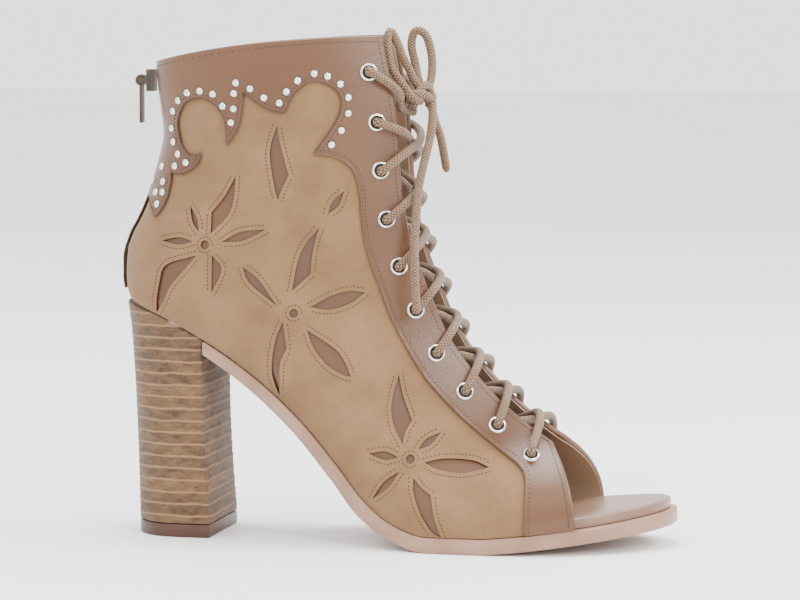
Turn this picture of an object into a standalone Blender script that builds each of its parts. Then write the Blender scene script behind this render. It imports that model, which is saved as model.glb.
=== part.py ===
# Lace-up peep-toe ankle boot with a stacked block heel, for the right foot.
# Metres, +Z up, +X to the toe, +Y to the inner (medial) side.
# The origin is the middle of the heel's top lift, on the floor.
import math

import bmesh
import bpy
from mathutils import Matrix, Vector
from mathutils.bvhtree import BVHTree

MM = 0.001

# Driving sizes
LENGTH = 230.0 * MM
BALL_WIDTH = 84.0 * MM
SEAT_HEIGHT = 97.0 * MM
SHAFT_HEIGHT = 97.2 * MM
COLLAR_RISE = 10.9 * MM
BACK_OVERHANG = 23.3 * MM
THROAT_GAP = 25.0 * MM
UPPER_WALL = 1.8 * MM
GAP = 0.3 * MM

# Sole, insole and heel
SOLE_THICKNESS = 6.2 * MM
ARCH_THICKNESS = 5.0 * MM
TOE_SPRING = 9.2 * MM
TOE_SWING = 3.0 * MM
SOLE_MARGIN = 1.2 * MM
INSOLE_THICKNESS = 4.2 * MM
INSOLE_MARGIN = 2.7 * MM
HEEL_LENGTH = 37.0 * MM
HEEL_WIDTH = 50.0 * MM
HEEL_FOOT_LENGTH = 34.5 * MM
HEEL_FOOT_WIDTH = 45.0 * MM
TOP_LIFT = 5.4 * MM

# Leather overlay, eyelets, lace and zip
OVERLAY = 0.9 * MM
ZIP_WIDTH = 6.0 * MM
ZIP_THICKNESS = 1.4 * MM
EYELETS = 10
EYELET_FLANGE = 7.2 * MM
EYELET_BORE = 4.9 * MM
EYELET_WALL = 0.35 * MM
EYELET_RISE = 0.9 * MM
EYELET_SETBACK = 7.0 * MM
EYELET_SIDES = 8
TOP_CROSSING = 2
LACE = 3.5 * MM
LACE_CLEARANCE = 0.6 * MM
LACE_REACH = 1.8 * MM
LACE_BEND = 1.2 * MM
LACE_TUCK = 0.8 * MM
BAR_TUCK = 2.0 * MM
SADDLE = 1.55 * MM
EDGE_START = 0.30
EDGE_END = 0.76
TIE_DROP = 0.45
SLIDER = (3.0 * MM, 6.4 * MM, 9.0 * MM)
SLIDER_EAR = (3.4 * MM, 0.9 * MM, 2.2 * MM)
PULL_PIN = 1.4 * MM
PULL_RUNNING_GAP = 0.4 * MM
PULL_LENGTH = 16.5 * MM
PULL_WIDTH = 3.4 * MM
PULL_THICKNESS = 1.3 * MM

# Where the outsole is widest and where the flat of the forefoot starts and ends, as shares of LENGTH
FLAT_START = 0.588
FLAT_END = 0.684

# Height of the sole's top: (along the length, rise over the seat's rise)
SOLE_LINE = (
    (0.000, 1.000),
    (0.084, 0.939),
    (0.171, 0.826),
    (0.258, 0.681),
    (0.345, 0.493),
    (0.414, 0.306),
    (0.475, 0.133),
    (0.527, 0.044),
    (FLAT_START, 0.000),
    (FLAT_END, 0.000),
)

# Half widths of the outsole: (along the length, outer side, inner side), as shares of BALL_WIDTH
SOLE_PLAN = (
    (0.171, 0.305, 0.305),
    (0.258, 0.316, 0.304),
    (0.345, 0.340, 0.298),
    (0.430, 0.393, 0.318),
    (0.520, 0.475, 0.375),
    (0.600, 0.518, 0.436),
    (0.675, 0.524, 0.470),
)

# Centre-back line: (share of SHAFT_HEIGHT over the seat, forward share of LENGTH)
BACK_LINE = (
    (0.00, 0.0065),
    (0.09, 0.000),
    (0.165, 0.000),
    (0.27, 0.012),
    (0.33, 0.026),
    (0.40, 0.040),
    (0.50, 0.056),
    (0.61, 0.070),
    (0.70, 0.077),
    (0.80, 0.073),
    (0.90, 0.067),
    (1.00, 0.064),
)

# Throat line, collar to toe opening: (share of LENGTH, share of the collar's front height)
THROAT_LINE = (
    (0.481, 1.000),
    (0.497, 0.907),
    (0.505, 0.850),
    (0.510, 0.780),
    (0.517, 0.688),
    (0.528, 0.620),
    (0.544, 0.560),
    (0.564, 0.503),
    (0.589, 0.437),
    (0.616, 0.384),
    (0.650, 0.336),
    (0.692, 0.286),
    (0.737, 0.243),
    (0.786, 0.204),
)

# Girths of the last. Each runs over the foot from the throat to its end below. The end climbs
# down the centre-back line (0 to 1) and then along the sole's edge (1 to 2).
# throat: share down the throat line. outer, inner: greatest half width over BALL_WIDTH.
# widest: where that is along the girth. crown: fullness above it. tail, close: fullness below it.
# gap: half opening over THROAT_GAP. bulge: how far the girth bows, over its own length.
# steps: mesh rows up to the next girth.
GIRTH_COLUMNS = (
    "throat", "end", "outer", "inner", "widest", "crown", "tail", "close", "gap", "bulge", "steps"
)
GIRTHS = (
    (0.000, 0.000, 0.345, 0.345, 0.50, 2.0, 2.3, 0.50, 0.54, 0.028, 2),
    (0.130, 0.240, 0.334, 0.334, 0.50, 2.0, 2.3, 0.50, 0.52, 0.000, 2),
    (0.260, 0.470, 0.324, 0.330, 0.52, 2.0, 2.2, 0.50, 0.50, 0.000, 2),
    (0.380, 0.700, 0.334, 0.340, 0.58, 2.0, 2.1, 0.50, 0.50, 0.000, 2),
    (0.490, 0.880, 0.355, 0.360, 0.68, 2.0, 2.0, 0.50, 0.50, 0.000, 2),
    (0.570, 1.000, 0.372, 0.372, 0.76, 2.0, 2.0, 0.50, 0.50, 0.000, 1),
    (0.578, 1.010, 0.373, 0.372, 0.765, 2.0, 2.0, 0.55, 0.50, 0.000, 1),
    (0.597, 1.036, 0.373, 0.371, 0.775, 2.0, 2.0, 0.62, 0.50, 0.000, 1),
    (0.620, 1.074, 0.372, 0.368, 0.79, 2.0, 2.0, 0.72, 0.50, 0.000, 1),
    (0.645, 1.120, 0.371, 0.362, 0.80, 2.0, 2.0, 0.85, 0.50, 0.000, 2),
    (0.710, 1.240, 0.376, 0.354, 0.81, 1.9, 2.0, 0.95, 0.50, 0.000, 2),
    (0.790, 1.400, 0.392, 0.346, 0.82, 1.85, 2.0, 1.00, 0.50, 0.000, 2),
    (0.860, 1.550, 0.432, 0.362, 0.84, 1.8, 2.0, 1.00, 0.50, 0.000, 3),
    (0.920, 1.700, 0.490, 0.420, 0.86, 1.75, 2.0, 1.00, 0.50, 0.000, 2),
    (0.965, 1.850, 0.514, 0.466, 0.86, 1.7, 2.0, 1.00, 0.50, -0.030, 3),
    (1.000, 2.000, 0.468, 0.424, 0.86, 1.7, 2.0, 1.00, 0.52, -0.110, 1),
)
SPANS_ABOVE = 5
SPANS_BELOW = 5

# Edge of the leather overlay, from the sole up the eyestay and round the scalloped collar to
# the centre back: (share of LENGTH, share of the collar's front height)
OVERLAY_EDGE = (
    (0.763, 0.046),
    (0.762, 0.094),
    (0.756, 0.143),
    (0.741, 0.167),
    (0.708, 0.193),
    (0.674, 0.220),
    (0.633, 0.257),
    (0.596, 0.298),
    (0.559, 0.348),
    (0.512, 0.435),
    (0.484, 0.512),
    (0.462, 0.584),
    (0.451, 0.668),
    (0.442, 0.730),
    (0.429, 0.752),
    (0.408, 0.766),
    (0.373, 0.773),
    (0.393, 0.804),
    (0.409, 0.832),
    (0.418, 0.870),
    (0.409, 0.899),
    (0.393, 0.909),
    (0.376, 0.914),
    (0.359, 0.908),
    (0.340, 0.890),
    (0.330, 0.872),
    (0.323, 0.853),
    (0.303, 0.857),
    (0.285, 0.865),
    (0.264, 0.881),
    (0.249, 0.894),
    (0.245, 0.847),
    (0.238, 0.820),
    (0.218, 0.787),
    (0.217, 0.815),
    (0.213, 0.842),
    (0.204, 0.858),
    (0.193, 0.871),
    (0.175, 0.880),
    (0.157, 0.879),
    (0.140, 0.872),
    (0.127, 0.856),
    (0.120, 0.833),
    (0.121, 0.810),
    (0.127, 0.787),
    (0.140, 0.769),
    (0.152, 0.765),
    (0.168, 0.769),
    (0.164, 0.755),
    (0.150, 0.738),
    (0.127, 0.728),
    (0.106, 0.730),
    (0.105, 0.704),
    (0.099, 0.676),
    (0.086, 0.651),
    (0.076, 0.640),
    (0.064, 0.653),
    (0.053, 0.678),
)

OUTER, INNER = -1, 1


# The bow hangs at the throat's top: points in millimetres.
KNOT = (
    (99.0, -6.0, 176.4),
    (101.0, -5.2, 182.0),
    (103.0, -1.6, 185.4),
    (104.2, 2.4, 184.0),
    (104.2, 4.8, 180.0),
    (104.0, 6.2, 177.3),
)
TIE_MIDDLES = {OUTER: (94.4, -7.2, 176.4), INNER: (94.6, 7.6, 177.0)}
TIE_TOPS = {OUTER: (97.4, 0.6, 174.4), INNER: (97.0, -2.4, 173.6)}
OUTER_LOOP = (
    (99.8, -9.7, 180.4),
    (97.2, -10.2, 184.0),
    (93.8, -9.8, 188.4),
    (90.9, -9.2, 192.8),
    (89.4, -8.8, 198.8),
    (88.9, -8.0, 204.0),
    (89.8, -6.2, 207.4),
    (92.2, -4.8, 203.0),
    (94.4, -4.2, 197.2),
    (97.0, -3.6, 191.8),
    (98.9, -3.0, 186.8),
)
INNER_LOOP = (
    (99.6, 2.4, 187.2),
    (97.6, 5.0, 194.4),
    (95.8, 6.4, 202.0),
    (97.4, 7.0, 207.4),
    (101.4, 7.4, 205.8),
    (103.8, 7.4, 199.0),
    (104.4, 6.6, 192.0),
    (104.1, 3.7, 186.0),
)
LONG_END = (
    (105.9, -0.9, 182.0),
    (106.8, -4.0, 173.0),
    (106.2, -6.4, 164.0),
    (104.4, -9.8, 154.0),
    (103.0, -13.6, 144.0),
    (103.0, -17.6, 134.0),
    (103.0, -21.4, 124.0),
    (103.6, -24.0, 114.0),
    (104.2, -25.4, 104.0),
    (105.2, -26.6, 94.5),
)
SHORT_END = (
    (104.0, 6.7, 176.5),
    (105.0, 9.4, 170.6),
    (107.0, 11.0, 164.0),
    (108.2, 12.0, 157.0),
    (109.4, 12.6, 149.6),
)


def clear_scene():
    for old in list(bpy.data.objects):
        bpy.data.objects.remove(old, do_unlink=True)


def collection(name):
    made = bpy.data.collections.new(name)
    bpy.context.scene.collection.children.link(made)
    return made


def material(name, colour, roughness, metallic=0.0):
    made = bpy.data.materials.new(name)
    made.use_nodes = True
    shader = made.node_tree.nodes["Principled BSDF"]
    shader.inputs["Base Color"].default_value = (*colour, 1.0)
    shader.inputs["Roughness"].default_value = roughness
    shader.inputs["Metallic"].default_value = metallic
    return made


def slopes(knots):
    """Tangents of a curve that never overshoots its knots."""
    rises = [(b[1] - a[1]) / (b[0] - a[0]) for a, b in zip(knots, knots[1:])]
    inner = [0.0 if p * q <= 0 else 2 * p * q / (p + q) for p, q in zip(rises, rises[1:])]
    return [rises[0], *inner, rises[-1]]


def ease(knots, x):
    """Value at x of the smooth curve through (x, value) knots."""
    x = min(max(x, knots[0][0]), knots[-1][0])
    tangents = slopes(knots)
    i = max(k for k in range(len(knots) - 1) if knots[k][0] <= x)
    (x0, y0), (x1, y1) = knots[i], knots[i + 1]
    span = x1 - x0
    s = (x - x0) / span
    return (
        y0 * (1 + 2 * s) * (1 - s) ** 2
        + tangents[i] * span * s * (1 - s) ** 2
        + y1 * s * s * (3 - 2 * s)
        + tangents[i + 1] * span * s * s * (s - 1)
    )


def along(share):
    return share * LENGTH - BACK_OVERHANG


def share_of(x):
    return (x + BACK_OVERHANG) / LENGTH


def sole_top(x):
    share = share_of(x)
    if share > FLAT_END:
        return SOLE_THICKNESS + TOE_SPRING * ((share - FLAT_END) / (1.0 - FLAT_END)) ** 1.2
    return SOLE_THICKNESS + ease(SOLE_LINE, share) * (SEAT_HEIGHT - SOLE_THICKNESS)


def seat_half(x, margin):
    """Half width of the round seat behind the heel's breast."""
    back = along(BACK_LINE[0][1]) + margin
    middle = back + 0.66 * HEEL_LENGTH
    full = SOLE_PLAN[0][1] * BALL_WIDTH - margin
    reach = min(max((middle - x) / (middle - back), 0.0), 1.0)
    return full * math.sqrt(1.0 - reach**2.2)


def sole_edge(x, side, margin=0.0):
    """Signed distance of the sole's edge from the mid plane."""
    share = share_of(x)
    column = 1 if side == OUTER else 2
    if share <= SOLE_PLAN[0][0]:
        return side * seat_half(x, margin)
    widest = SOLE_PLAN[-1][0]
    if share <= widest:
        knots = [(row[0], row[column]) for row in SOLE_PLAN]
        return side * (ease(knots, share) * BALL_WIDTH - margin)
    tip = 1.0 - margin / LENGTH
    reach = min((share - widest) / (tip - widest), 1.0)
    half = SOLE_PLAN[-1][column] * BALL_WIDTH - margin
    return side * half * math.sqrt(1.0 - reach**2.2) + TOE_SWING * reach**2


def through(points, share):
    """Point at a share of the length of a polyline."""
    lengths = [0.0]
    for a, b in zip(points, points[1:]):
        lengths.append(lengths[-1] + (b - a).length)
    target = share * lengths[-1]
    for i in range(1, len(points)):
        if lengths[i] >= target - 1e-12:
            part = (target - lengths[i - 1]) / (lengths[i] - lengths[i - 1])
            return points[i - 1].lerp(points[i], part)
    return points[-1].copy()


def back_point(z):
    rise = (z - SEAT_HEIGHT) / SHAFT_HEIGHT
    return Vector((along(ease(BACK_LINE, rise)), 0.0, z))


def line_points():
    """The throat, centre-back and sole-edge lines in the side plane, as fine polylines."""
    steps = 96
    front = SEAT_HEIGHT + SHAFT_HEIGHT + COLLAR_RISE
    knots_x = [(i, row[0]) for i, row in enumerate(THROAT_LINE)]
    knots_z = [(i, row[1]) for i, row in enumerate(THROAT_LINE)]
    last = len(THROAT_LINE) - 1
    throat = [
        Vector((along(ease(knots_x, last * i / steps)), 0.0, front * ease(knots_z, last * i / steps)))
        for i in range(steps + 1)
    ]
    seat = sole_top(along(BACK_LINE[0][1])) + GAP
    collar = SEAT_HEIGHT + SHAFT_HEIGHT
    back = [back_point(collar + (seat - collar) * i / steps) for i in range(steps + 1)]
    heel = back[-1].x
    toe = along(TOE_EDGE)
    xs = [heel + (toe - heel) * i / steps for i in range(steps + 1)]
    edge = [Vector((x, 0.0, sole_top(x) + GAP)) for x in xs]
    return throat, back, edge


# Where the upper's front edge meets the sole, as a share of LENGTH
TOE_EDGE = 0.845
THROAT_PATH, BACK_PATH, EDGE_PATH = line_points()


def girth(u):
    """All columns of the girth table at a fractional row."""
    values = {}
    for column, name in enumerate(GIRTH_COLUMNS[:-1]):
        values[name] = ease([(i, row[column]) for i, row in enumerate(GIRTHS)], u)
    return values


def girth_ends(g):
    top = through(THROAT_PATH, g["throat"])
    if g["end"] <= 1.0:
        return top, through(BACK_PATH, g["end"]), False
    return top, through(EDGE_PATH, g["end"] - 1.0), True


def surface_point(side, u, t):
    """Outer face of the upper: u picks the girth, t runs down it from the throat."""
    g = girth(u)
    top, end, on_sole = girth_ends(g)
    chord = end - top
    bow = Vector((chord.z, 0.0, -chord.x)) * g["bulge"] * 4 * t * (1 - t)
    place = top.lerp(end, t) + bow
    start = g["gap"] * THROAT_GAP
    full = g["outer" if side == OUTER else "inner"] * BALL_WIDTH
    finish = abs(sole_edge(end.x, side, SOLE_MARGIN)) if on_sole else 0.0
    if t <= g["widest"]:
        half = start + (full - start) * (1 - (1 - t / g["widest"]) ** g["crown"])
    else:
        s = (t - g["widest"]) / (1 - g["widest"])
        half = finish + (full - finish) * max(1 - s ** g["tail"], 0.0) ** g["close"]
    place.y = side * half
    return place


def girth_rows():
    rows = []
    for i, row in enumerate(GIRTHS[:-1]):
        rows.extend(i + k / row[-1] for k in range(row[-1]))
    return [*rows, float(len(GIRTHS) - 1)]


def girth_shares(u):
    """Shares down a girth: even above its widest point, closing up toward its end."""
    widest = girth(u)["widest"]
    above = [widest * i / SPANS_ABOVE for i in range(SPANS_ABOVE + 1)]
    turns = [math.radians(90) * i / SPANS_BELOW for i in range(1, SPANS_BELOW + 1)]
    return above + [widest + (1 - widest) * math.sin(turn) for turn in turns]


def surface_mesh(name, sides, lift=0.0):
    """Open outer surface of the upper on the given sides, lifted off it, welded down the back."""
    mesh = bmesh.new()
    grids = {}
    for side in sides:
        grid = [
            [mesh.verts.new(surface_point(side, u, t)) for t in girth_shares(u)] for u in girth_rows()
        ]
        grids[side] = grid
        for upper_row, lower_row in zip(grid, grid[1:]):
            for j in range(len(upper_row) - 1):
                a, b, c, d = upper_row[j], upper_row[j + 1], lower_row[j + 1], lower_row[j]
                triangles = ((a, b, c), (a, c, d)) if side == OUTER else ((a, c, b), (a, d, c))
                for corners in triangles:
                    mesh.faces.new(corners)
    bmesh.ops.remove_doubles(mesh, verts=mesh.verts, dist=0.05 * MM)
    mesh.normal_update()
    for vert in mesh.verts:
        vert.co += vert.normal * lift
    data = bpy.data.meshes.new(name)
    mesh.to_mesh(data)
    mesh.free()
    return data


def add_object(name, data, look, home):
    made = bpy.data.objects.new(name, data)
    home.objects.link(made)
    if look:
        data.materials.clear()
        data.materials.append(look)
    return made


def add_solidify(thing, thickness, offset):
    shell = thing.modifiers.new("wall", "SOLIDIFY")
    shell.thickness = thickness
    shell.offset = offset
    shell.use_even_offset = True
    shell.use_quality_normals = True
    return shell


def make_upper(home, look):
    made = add_object("upper", surface_mesh("upper", (OUTER, INNER)), look, home)
    add_solidify(made, UPPER_WALL, -1.0)
    return made


def slab_mesh(name, xs, left, right, top, bottom, across):
    """A sheet-like solid: stations along x, each with points across it, closed all round."""
    mesh = bmesh.new()
    layers = []
    for height in (bottom, top):
        layer = []
        for x in xs:
            low, high = left(x), right(x)
            if abs(high - low) < 0.2 * MM:
                layer.append([mesh.verts.new(height(x, (low + high) / 2))] * (across + 1))
                continue
            ys = [low + (high - low) * j / across for j in range(across + 1)]
            layer.append([mesh.verts.new(height(x, y)) for y in ys])
        layers.append(layer)

    def add_face(*corners):
        ring = list(dict.fromkeys(corners))
        if len(ring) > 2:
            mesh.faces.new(ring)

    low, high = layers
    for i in range(len(xs) - 1):
        for j in range(across):
            add_face(low[i][j], low[i][j + 1], low[i + 1][j + 1], low[i + 1][j])
            add_face(high[i][j], high[i + 1][j], high[i + 1][j + 1], high[i][j + 1])
        add_face(low[i][0], low[i + 1][0], high[i + 1][0], high[i][0])
        add_face(low[i][-1], high[i][-1], high[i + 1][-1], low[i + 1][-1])
    for j in range(across):
        add_face(low[0][j], high[0][j], high[0][j + 1], low[0][j + 1])
        add_face(low[-1][j], low[-1][j + 1], high[-1][j + 1], high[-1][j])
    data = bpy.data.meshes.new(name)
    mesh.to_mesh(data)
    mesh.free()
    return data


def breast_x():
    return along(BACK_LINE[0][1]) + HEEL_LENGTH


def sole_stations(start, tip):
    """Stations from the breast to the tip, closer together in the arch and round the toe."""
    flat_start, flat_end = along(FLAT_START), along(FLAT_END)
    arch = [start + (flat_start - start) * i / 10 for i in range(10)]
    flat = [flat_start, (flat_start + flat_end) / 2, flat_end]
    toe = [flat_end + (tip - flat_end) * math.sin(math.radians(90) * i / 9) for i in range(1, 10)]
    return arch + flat + toe


def sole_thickness(x):
    share = share_of(x)
    start = (SOLE_PLAN[0][0], ARCH_THICKNESS)
    return ease((start, (FLAT_START, SOLE_THICKNESS), (1.0, SOLE_THICKNESS)), share)


def sole_tilt(x):
    step = 1.0 * MM
    return math.atan2(sole_top(x + step) - sole_top(x - step), 2 * step)


def make_outsole(home, look):
    start = breast_x() + GAP
    tip = along(1.0)

    def bottom(x, y):
        if along(FLAT_START) <= x <= along(FLAT_END):
            return Vector((x, y, sole_top(x) - SOLE_THICKNESS))
        drop = sole_thickness(x) / math.cos(sole_tilt(x))
        return Vector((x, y, sole_top(x) - drop))

    data = slab_mesh(
        "outsole",
        sole_stations(start, tip),
        lambda x: sole_edge(x, OUTER),
        lambda x: sole_edge(x, INNER),
        lambda x, y: Vector((x, y, sole_top(x))),
        bottom,
        4,
    )
    return add_object("outsole", data, look, home)


def make_insole(home, look):
    """Full-length footbed: inside the upper's wall at the back, free of it at the open toe."""
    heel = along(BACK_LINE[0][1]) + SOLE_MARGIN + UPPER_WALL + 2 * GAP
    tip = along(1.0) - INSOLE_MARGIN
    margin = SOLE_MARGIN + UPPER_WALL + 2 * GAP
    seat = [heel + (breast_x() - heel) * (1 - math.cos(math.radians(90) * i / 6)) for i in range(6)]
    stations = seat + sole_stations(breast_x(), tip)

    def inset(x):
        free = share_of(x) > TOE_EDGE + 0.012
        return INSOLE_MARGIN if free else margin

    data = slab_mesh(
        "insole",
        stations,
        lambda x: sole_edge(x, OUTER, inset(x)),
        lambda x: sole_edge(x, INNER, inset(x)),
        lambda x, y: Vector((x, y, sole_top(x) + GAP + INSOLE_THICKNESS)),
        lambda x, y: Vector((x, y, sole_top(x) + GAP)),
        4,
    )
    return add_object("insole", data, look, home)


def heel_ring(length, width, back, count=10):
    """Half outline of the heel: flat breast in front, round behind. (x, half width) pairs."""
    middle = back + 0.62 * length
    ring = []
    for i in range(count):
        turn = math.radians(90) * i / (count - 1)
        ring.append((middle - 0.62 * length * math.cos(turn), 0.5 * width * math.sin(turn) ** 0.9))
    ring.append((back + length, 0.5 * width))
    return ring


def heel_mesh(name, low, high, low_z, high_z):
    """Loft between two half outlines, closed above and below."""
    mesh = bmesh.new()

    def ring(outline, level):
        outer = [mesh.verts.new((x, -y, level(x))) for x, y in outline]
        inner = [outer[0]] + [mesh.verts.new((x, y, level(x))) for x, y in outline[1:]]
        return outer, inner

    low_outer, low_inner = ring(low, low_z)
    high_outer, high_inner = ring(high, high_z)
    for i in range(len(low) - 1):
        mesh.faces.new((low_outer[i], low_outer[i + 1], high_outer[i + 1], high_outer[i]))
        mesh.faces.new((low_inner[i + 1], low_inner[i], high_inner[i], high_inner[i + 1]))
        base = [low_outer[i], low_inner[i], low_inner[i + 1], low_outer[i + 1]]
        mesh.faces.new(list(dict.fromkeys(base)))
        lid = [high_outer[i], high_outer[i + 1], high_inner[i + 1], high_inner[i]]
        mesh.faces.new(list(dict.fromkeys(lid)))
    mesh.faces.new((low_outer[-1], low_inner[-1], high_inner[-1], high_outer[-1]))
    bmesh.ops.recalc_face_normals(mesh, faces=mesh.faces)
    data = bpy.data.meshes.new(name)
    mesh.to_mesh(data)
    mesh.free()
    return data


def make_heel(home, block_look, lift_look):
    seat_back = along(BACK_LINE[0][1])
    foot = heel_ring(HEEL_FOOT_LENGTH, HEEL_FOOT_WIDTH, -0.5 * HEEL_FOOT_LENGTH)
    seat = heel_ring(HEEL_LENGTH, HEEL_WIDTH, seat_back)
    block = heel_mesh("heel_block", foot, seat, lambda x: TOP_LIFT + GAP, sole_top)
    lift = heel_mesh("heel_top_lift", foot, foot, lambda x: 0.0, lambda x: TOP_LIFT)
    return (
        add_object("heel_block", block, block_look, home),
        add_object("heel_top_lift", lift, lift_look, home),
    )


def front_height():
    return SEAT_HEIGHT + SHAFT_HEIGHT + COLLAR_RISE


def make_cutter(name, data, home):
    made = add_object(name, data, None, home)
    made.display_type = "WIRE"
    made.hide_render = True
    return made


def add_boolean(thing, other, operation):
    step = thing.modifiers.new(other.name, "BOOLEAN")
    step.operation = operation
    step.solver = "EXACT"
    step.object = other
    return step


def bmesh_data(name, mesh):
    data = bpy.data.meshes.new(name)
    mesh.to_mesh(data)
    mesh.free()
    return data


def overlay_window(side, home):
    """Prism over the overlay's outline, clear of the zip, on one side of the boot."""
    behind, ahead, above = along(-0.03), along(0.97), 1.05 * front_height()
    outline = [(along(x), z * front_height()) for x, z in OVERLAY_EDGE]
    outline += [(behind, outline[-1][1]), (behind, above), (ahead, above)]
    outline.append((ahead, 0.062 * front_height()))
    near = side * (0.5 * ZIP_WIDTH + 2 * GAP)
    far = side * BALL_WIDTH
    mesh = bmesh.new()
    face = mesh.faces.new([mesh.verts.new((x, near, z)) for x, z in outline])
    made = bmesh.ops.extrude_face_region(mesh, geom=[face])
    moved = [item for item in made["geom"] if isinstance(item, bmesh.types.BMVert)]
    bmesh.ops.translate(mesh, verts=moved, vec=(0.0, far - near, 0.0))
    bmesh.ops.recalc_face_normals(mesh, faces=mesh.faces)
    return make_cutter("overlay_window_" + side_name(side), bmesh_data("window", mesh), home)


def side_name(side):
    return "outer" if side == OUTER else "inner"


def make_overlay(side, home, cutters, look):
    """Eyestay and scalloped collar in one piece of leather, on top of the suede."""
    name = "overlay_" + side_name(side)
    made = add_object(name, surface_mesh(name, (side,), GAP), look, home)
    add_solidify(made, OVERLAY, 1.0)
    add_boolean(made, overlay_window(side, cutters), "INTERSECT")
    return made


def throat_spot(share, back_off):
    """Point in the side plane, back from the throat line by the given distance."""
    here = through(THROAT_PATH, share)
    tangent = through(THROAT_PATH, min(share + 0.01, 1.0)) - through(THROAT_PATH, max(share - 0.01, 0.0))
    tangent.normalize()
    return here - Vector((-tangent.z, 0.0, tangent.x)) * back_off


def eyelet_share(i):
    return 0.07 + 0.915 * (i / (EYELETS - 1)) ** 0.95


def surface_trees():
    trees = {}
    for side in (OUTER, INNER):
        data = surface_mesh("probe", (side,))
        corners = [vert.co.copy() for vert in data.vertices]
        trees[side] = BVHTree.FromPolygons(corners, [tuple(face.vertices) for face in data.polygons])
        bpy.data.meshes.remove(data)
    return trees


def seated(trees, side, spot):
    """Point and outward normal of the upper's outer face beside a point in the side plane."""
    start = Vector((spot.x, side * BALL_WIDTH, spot.z))
    place, normal, _, _ = trees[side].ray_cast(start, Vector((0.0, -side, 0.0)))
    return place, normal


def eyelet_seats(trees):
    seats = {}
    for side in (OUTER, INNER):
        spots = [throat_spot(eyelet_share(i), EYELET_SETBACK) for i in range(EYELETS)]
        seats[side] = [seated(trees, side, spot) for spot in spots]
    return seats


def facing(place, normal):
    """Matrix that stands local Z on a normal, with local X level."""
    across = Vector((0.0, 0.0, 1.0)).cross(normal).normalized()
    turn = Matrix((across, normal.cross(across), normal)).transposed()
    return Matrix.Translation(place) @ turn.to_4x4()


def barrel_radius():
    return 0.5 * EYELET_BORE + EYELET_WALL


def eyelet_mesh():
    """Turned eyelet: a barrel through the leather and a flange on it. Z is 0 on the upper."""
    face = OVERLAY + 3 * GAP
    low = -UPPER_WALL - GAP
    bore, barrel, flange = 0.5 * EYELET_BORE, barrel_radius(), 0.5 * EYELET_FLANGE
    profile = ((bore, face + EYELET_RISE), (flange, face), (barrel, face), (barrel, low), (bore, low))
    mesh = bmesh.new()
    rings = []
    for k in range(EYELET_SIDES):
        turn = math.radians(360) * k / EYELET_SIDES
        rings.append([mesh.verts.new((r * math.cos(turn), r * math.sin(turn), z)) for r, z in profile])
    for a, b in zip(rings, rings[1:] + rings[:1]):
        for j in range(len(profile)):
            n = (j + 1) % len(profile)
            mesh.faces.new((a[j], a[n], b[n], b[j]))
    bmesh.ops.recalc_face_normals(mesh, faces=mesh.faces)
    return bmesh_data("eyelet", mesh)


def make_eyelets(seats, home, cutters, look):
    shared = eyelet_mesh()
    shared.materials.append(look)
    punch = bmesh.new()
    for side, places in seats.items():
        for i, (place, normal) in enumerate(places):
            made = bpy.data.objects.new("eyelet_%s_%02d" % (side_name(side), i + 1), shared)
            made.matrix_world = facing(place, normal)
            home.objects.link(made)
            bmesh.ops.create_cone(
                punch,
                cap_ends=True,
                segments=EYELET_SIDES,
                radius1=barrel_radius() + GAP,
                radius2=barrel_radius() + GAP,
                depth=4 * (UPPER_WALL + OVERLAY),
                matrix=facing(place, normal),
            )
    return make_cutter("eyelet_punch", bmesh_data("eyelet_punch", punch), cutters)


def smooth_route(points, spans):
    """Points along a Catmull-Rom curve through hand-chosen points, so many for each span."""
    ends = [2 * points[0] - points[1], *points, 2 * points[-1] - points[-2]]
    route = []
    for a, b, c, d, count in zip(ends, ends[1:], ends[2:], ends[3:], spans):
        for k in range(count):
            s = k / count
            bend = (2 * a - 5 * b + 4 * c - d) * s * s + (3 * b - a - 3 * c + d) * s**3
            route.append(0.5 * (2 * b + (c - a) * s + bend))
    return [*route, points[-1].copy()]


def cord_curve(name, route, home, look=None):
    """Lace-thick tube along a route, with its caps on."""
    data = bpy.data.curves.new(name, "CURVE")
    data.dimensions = "3D"
    data.bevel_depth = 0.5 * LACE
    data.bevel_resolution = 2
    data.use_fill_caps = True
    spline = data.splines.new("POLY")
    spline.points.add(len(route) - 1)
    for knot, place in zip(spline.points, route):
        knot.co = (*place, 1.0)
    if look:
        data.materials.append(look)
    made = bpy.data.objects.new(name, data)
    home.objects.link(made)
    return made


def cord_mesh(name, route, home, look=None):
    """The same tube as a closed mesh that a Boolean can take."""
    curve = cord_curve(name + "_path", route, home)
    bpy.context.view_layer.update()
    depsgraph = bpy.context.evaluated_depsgraph_get()
    data = bpy.data.meshes.new_from_object(curve.evaluated_get(depsgraph))
    bpy.data.objects.remove(curve, do_unlink=True)
    mesh = bmesh.new()
    mesh.from_mesh(data)
    bmesh.ops.remove_doubles(mesh, verts=mesh.verts, dist=0.01 * MM)
    mesh.to_mesh(data)
    mesh.free()
    return add_object(name, data, look, home)


def edge_frame(side, share):
    """Point on the throat's edge, its outward normal and the way past the edge."""
    low, high = 0.0, float(len(GIRTHS) - 1)
    for _ in range(30):
        u = 0.5 * (low + high)
        low, high = (u, high) if girth(u)["throat"] < share else (low, u)
    step = 0.02
    place = surface_point(side, u, 0.0)
    down = surface_point(side, u, step) - place
    ahead = surface_point(side, min(u + step, len(GIRTHS) - 1.0), 0.0)
    ahead -= surface_point(side, u - step, 0.0)
    normal = (down.cross(ahead) * -side).normalized()
    return place, normal, -down.normalized()


def lace_over():
    return GAP + OVERLAY + 0.5 * LACE + LACE_CLEARANCE


def lace_under():
    return UPPER_WALL + 0.5 * LACE + LACE_CLEARANCE


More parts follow.
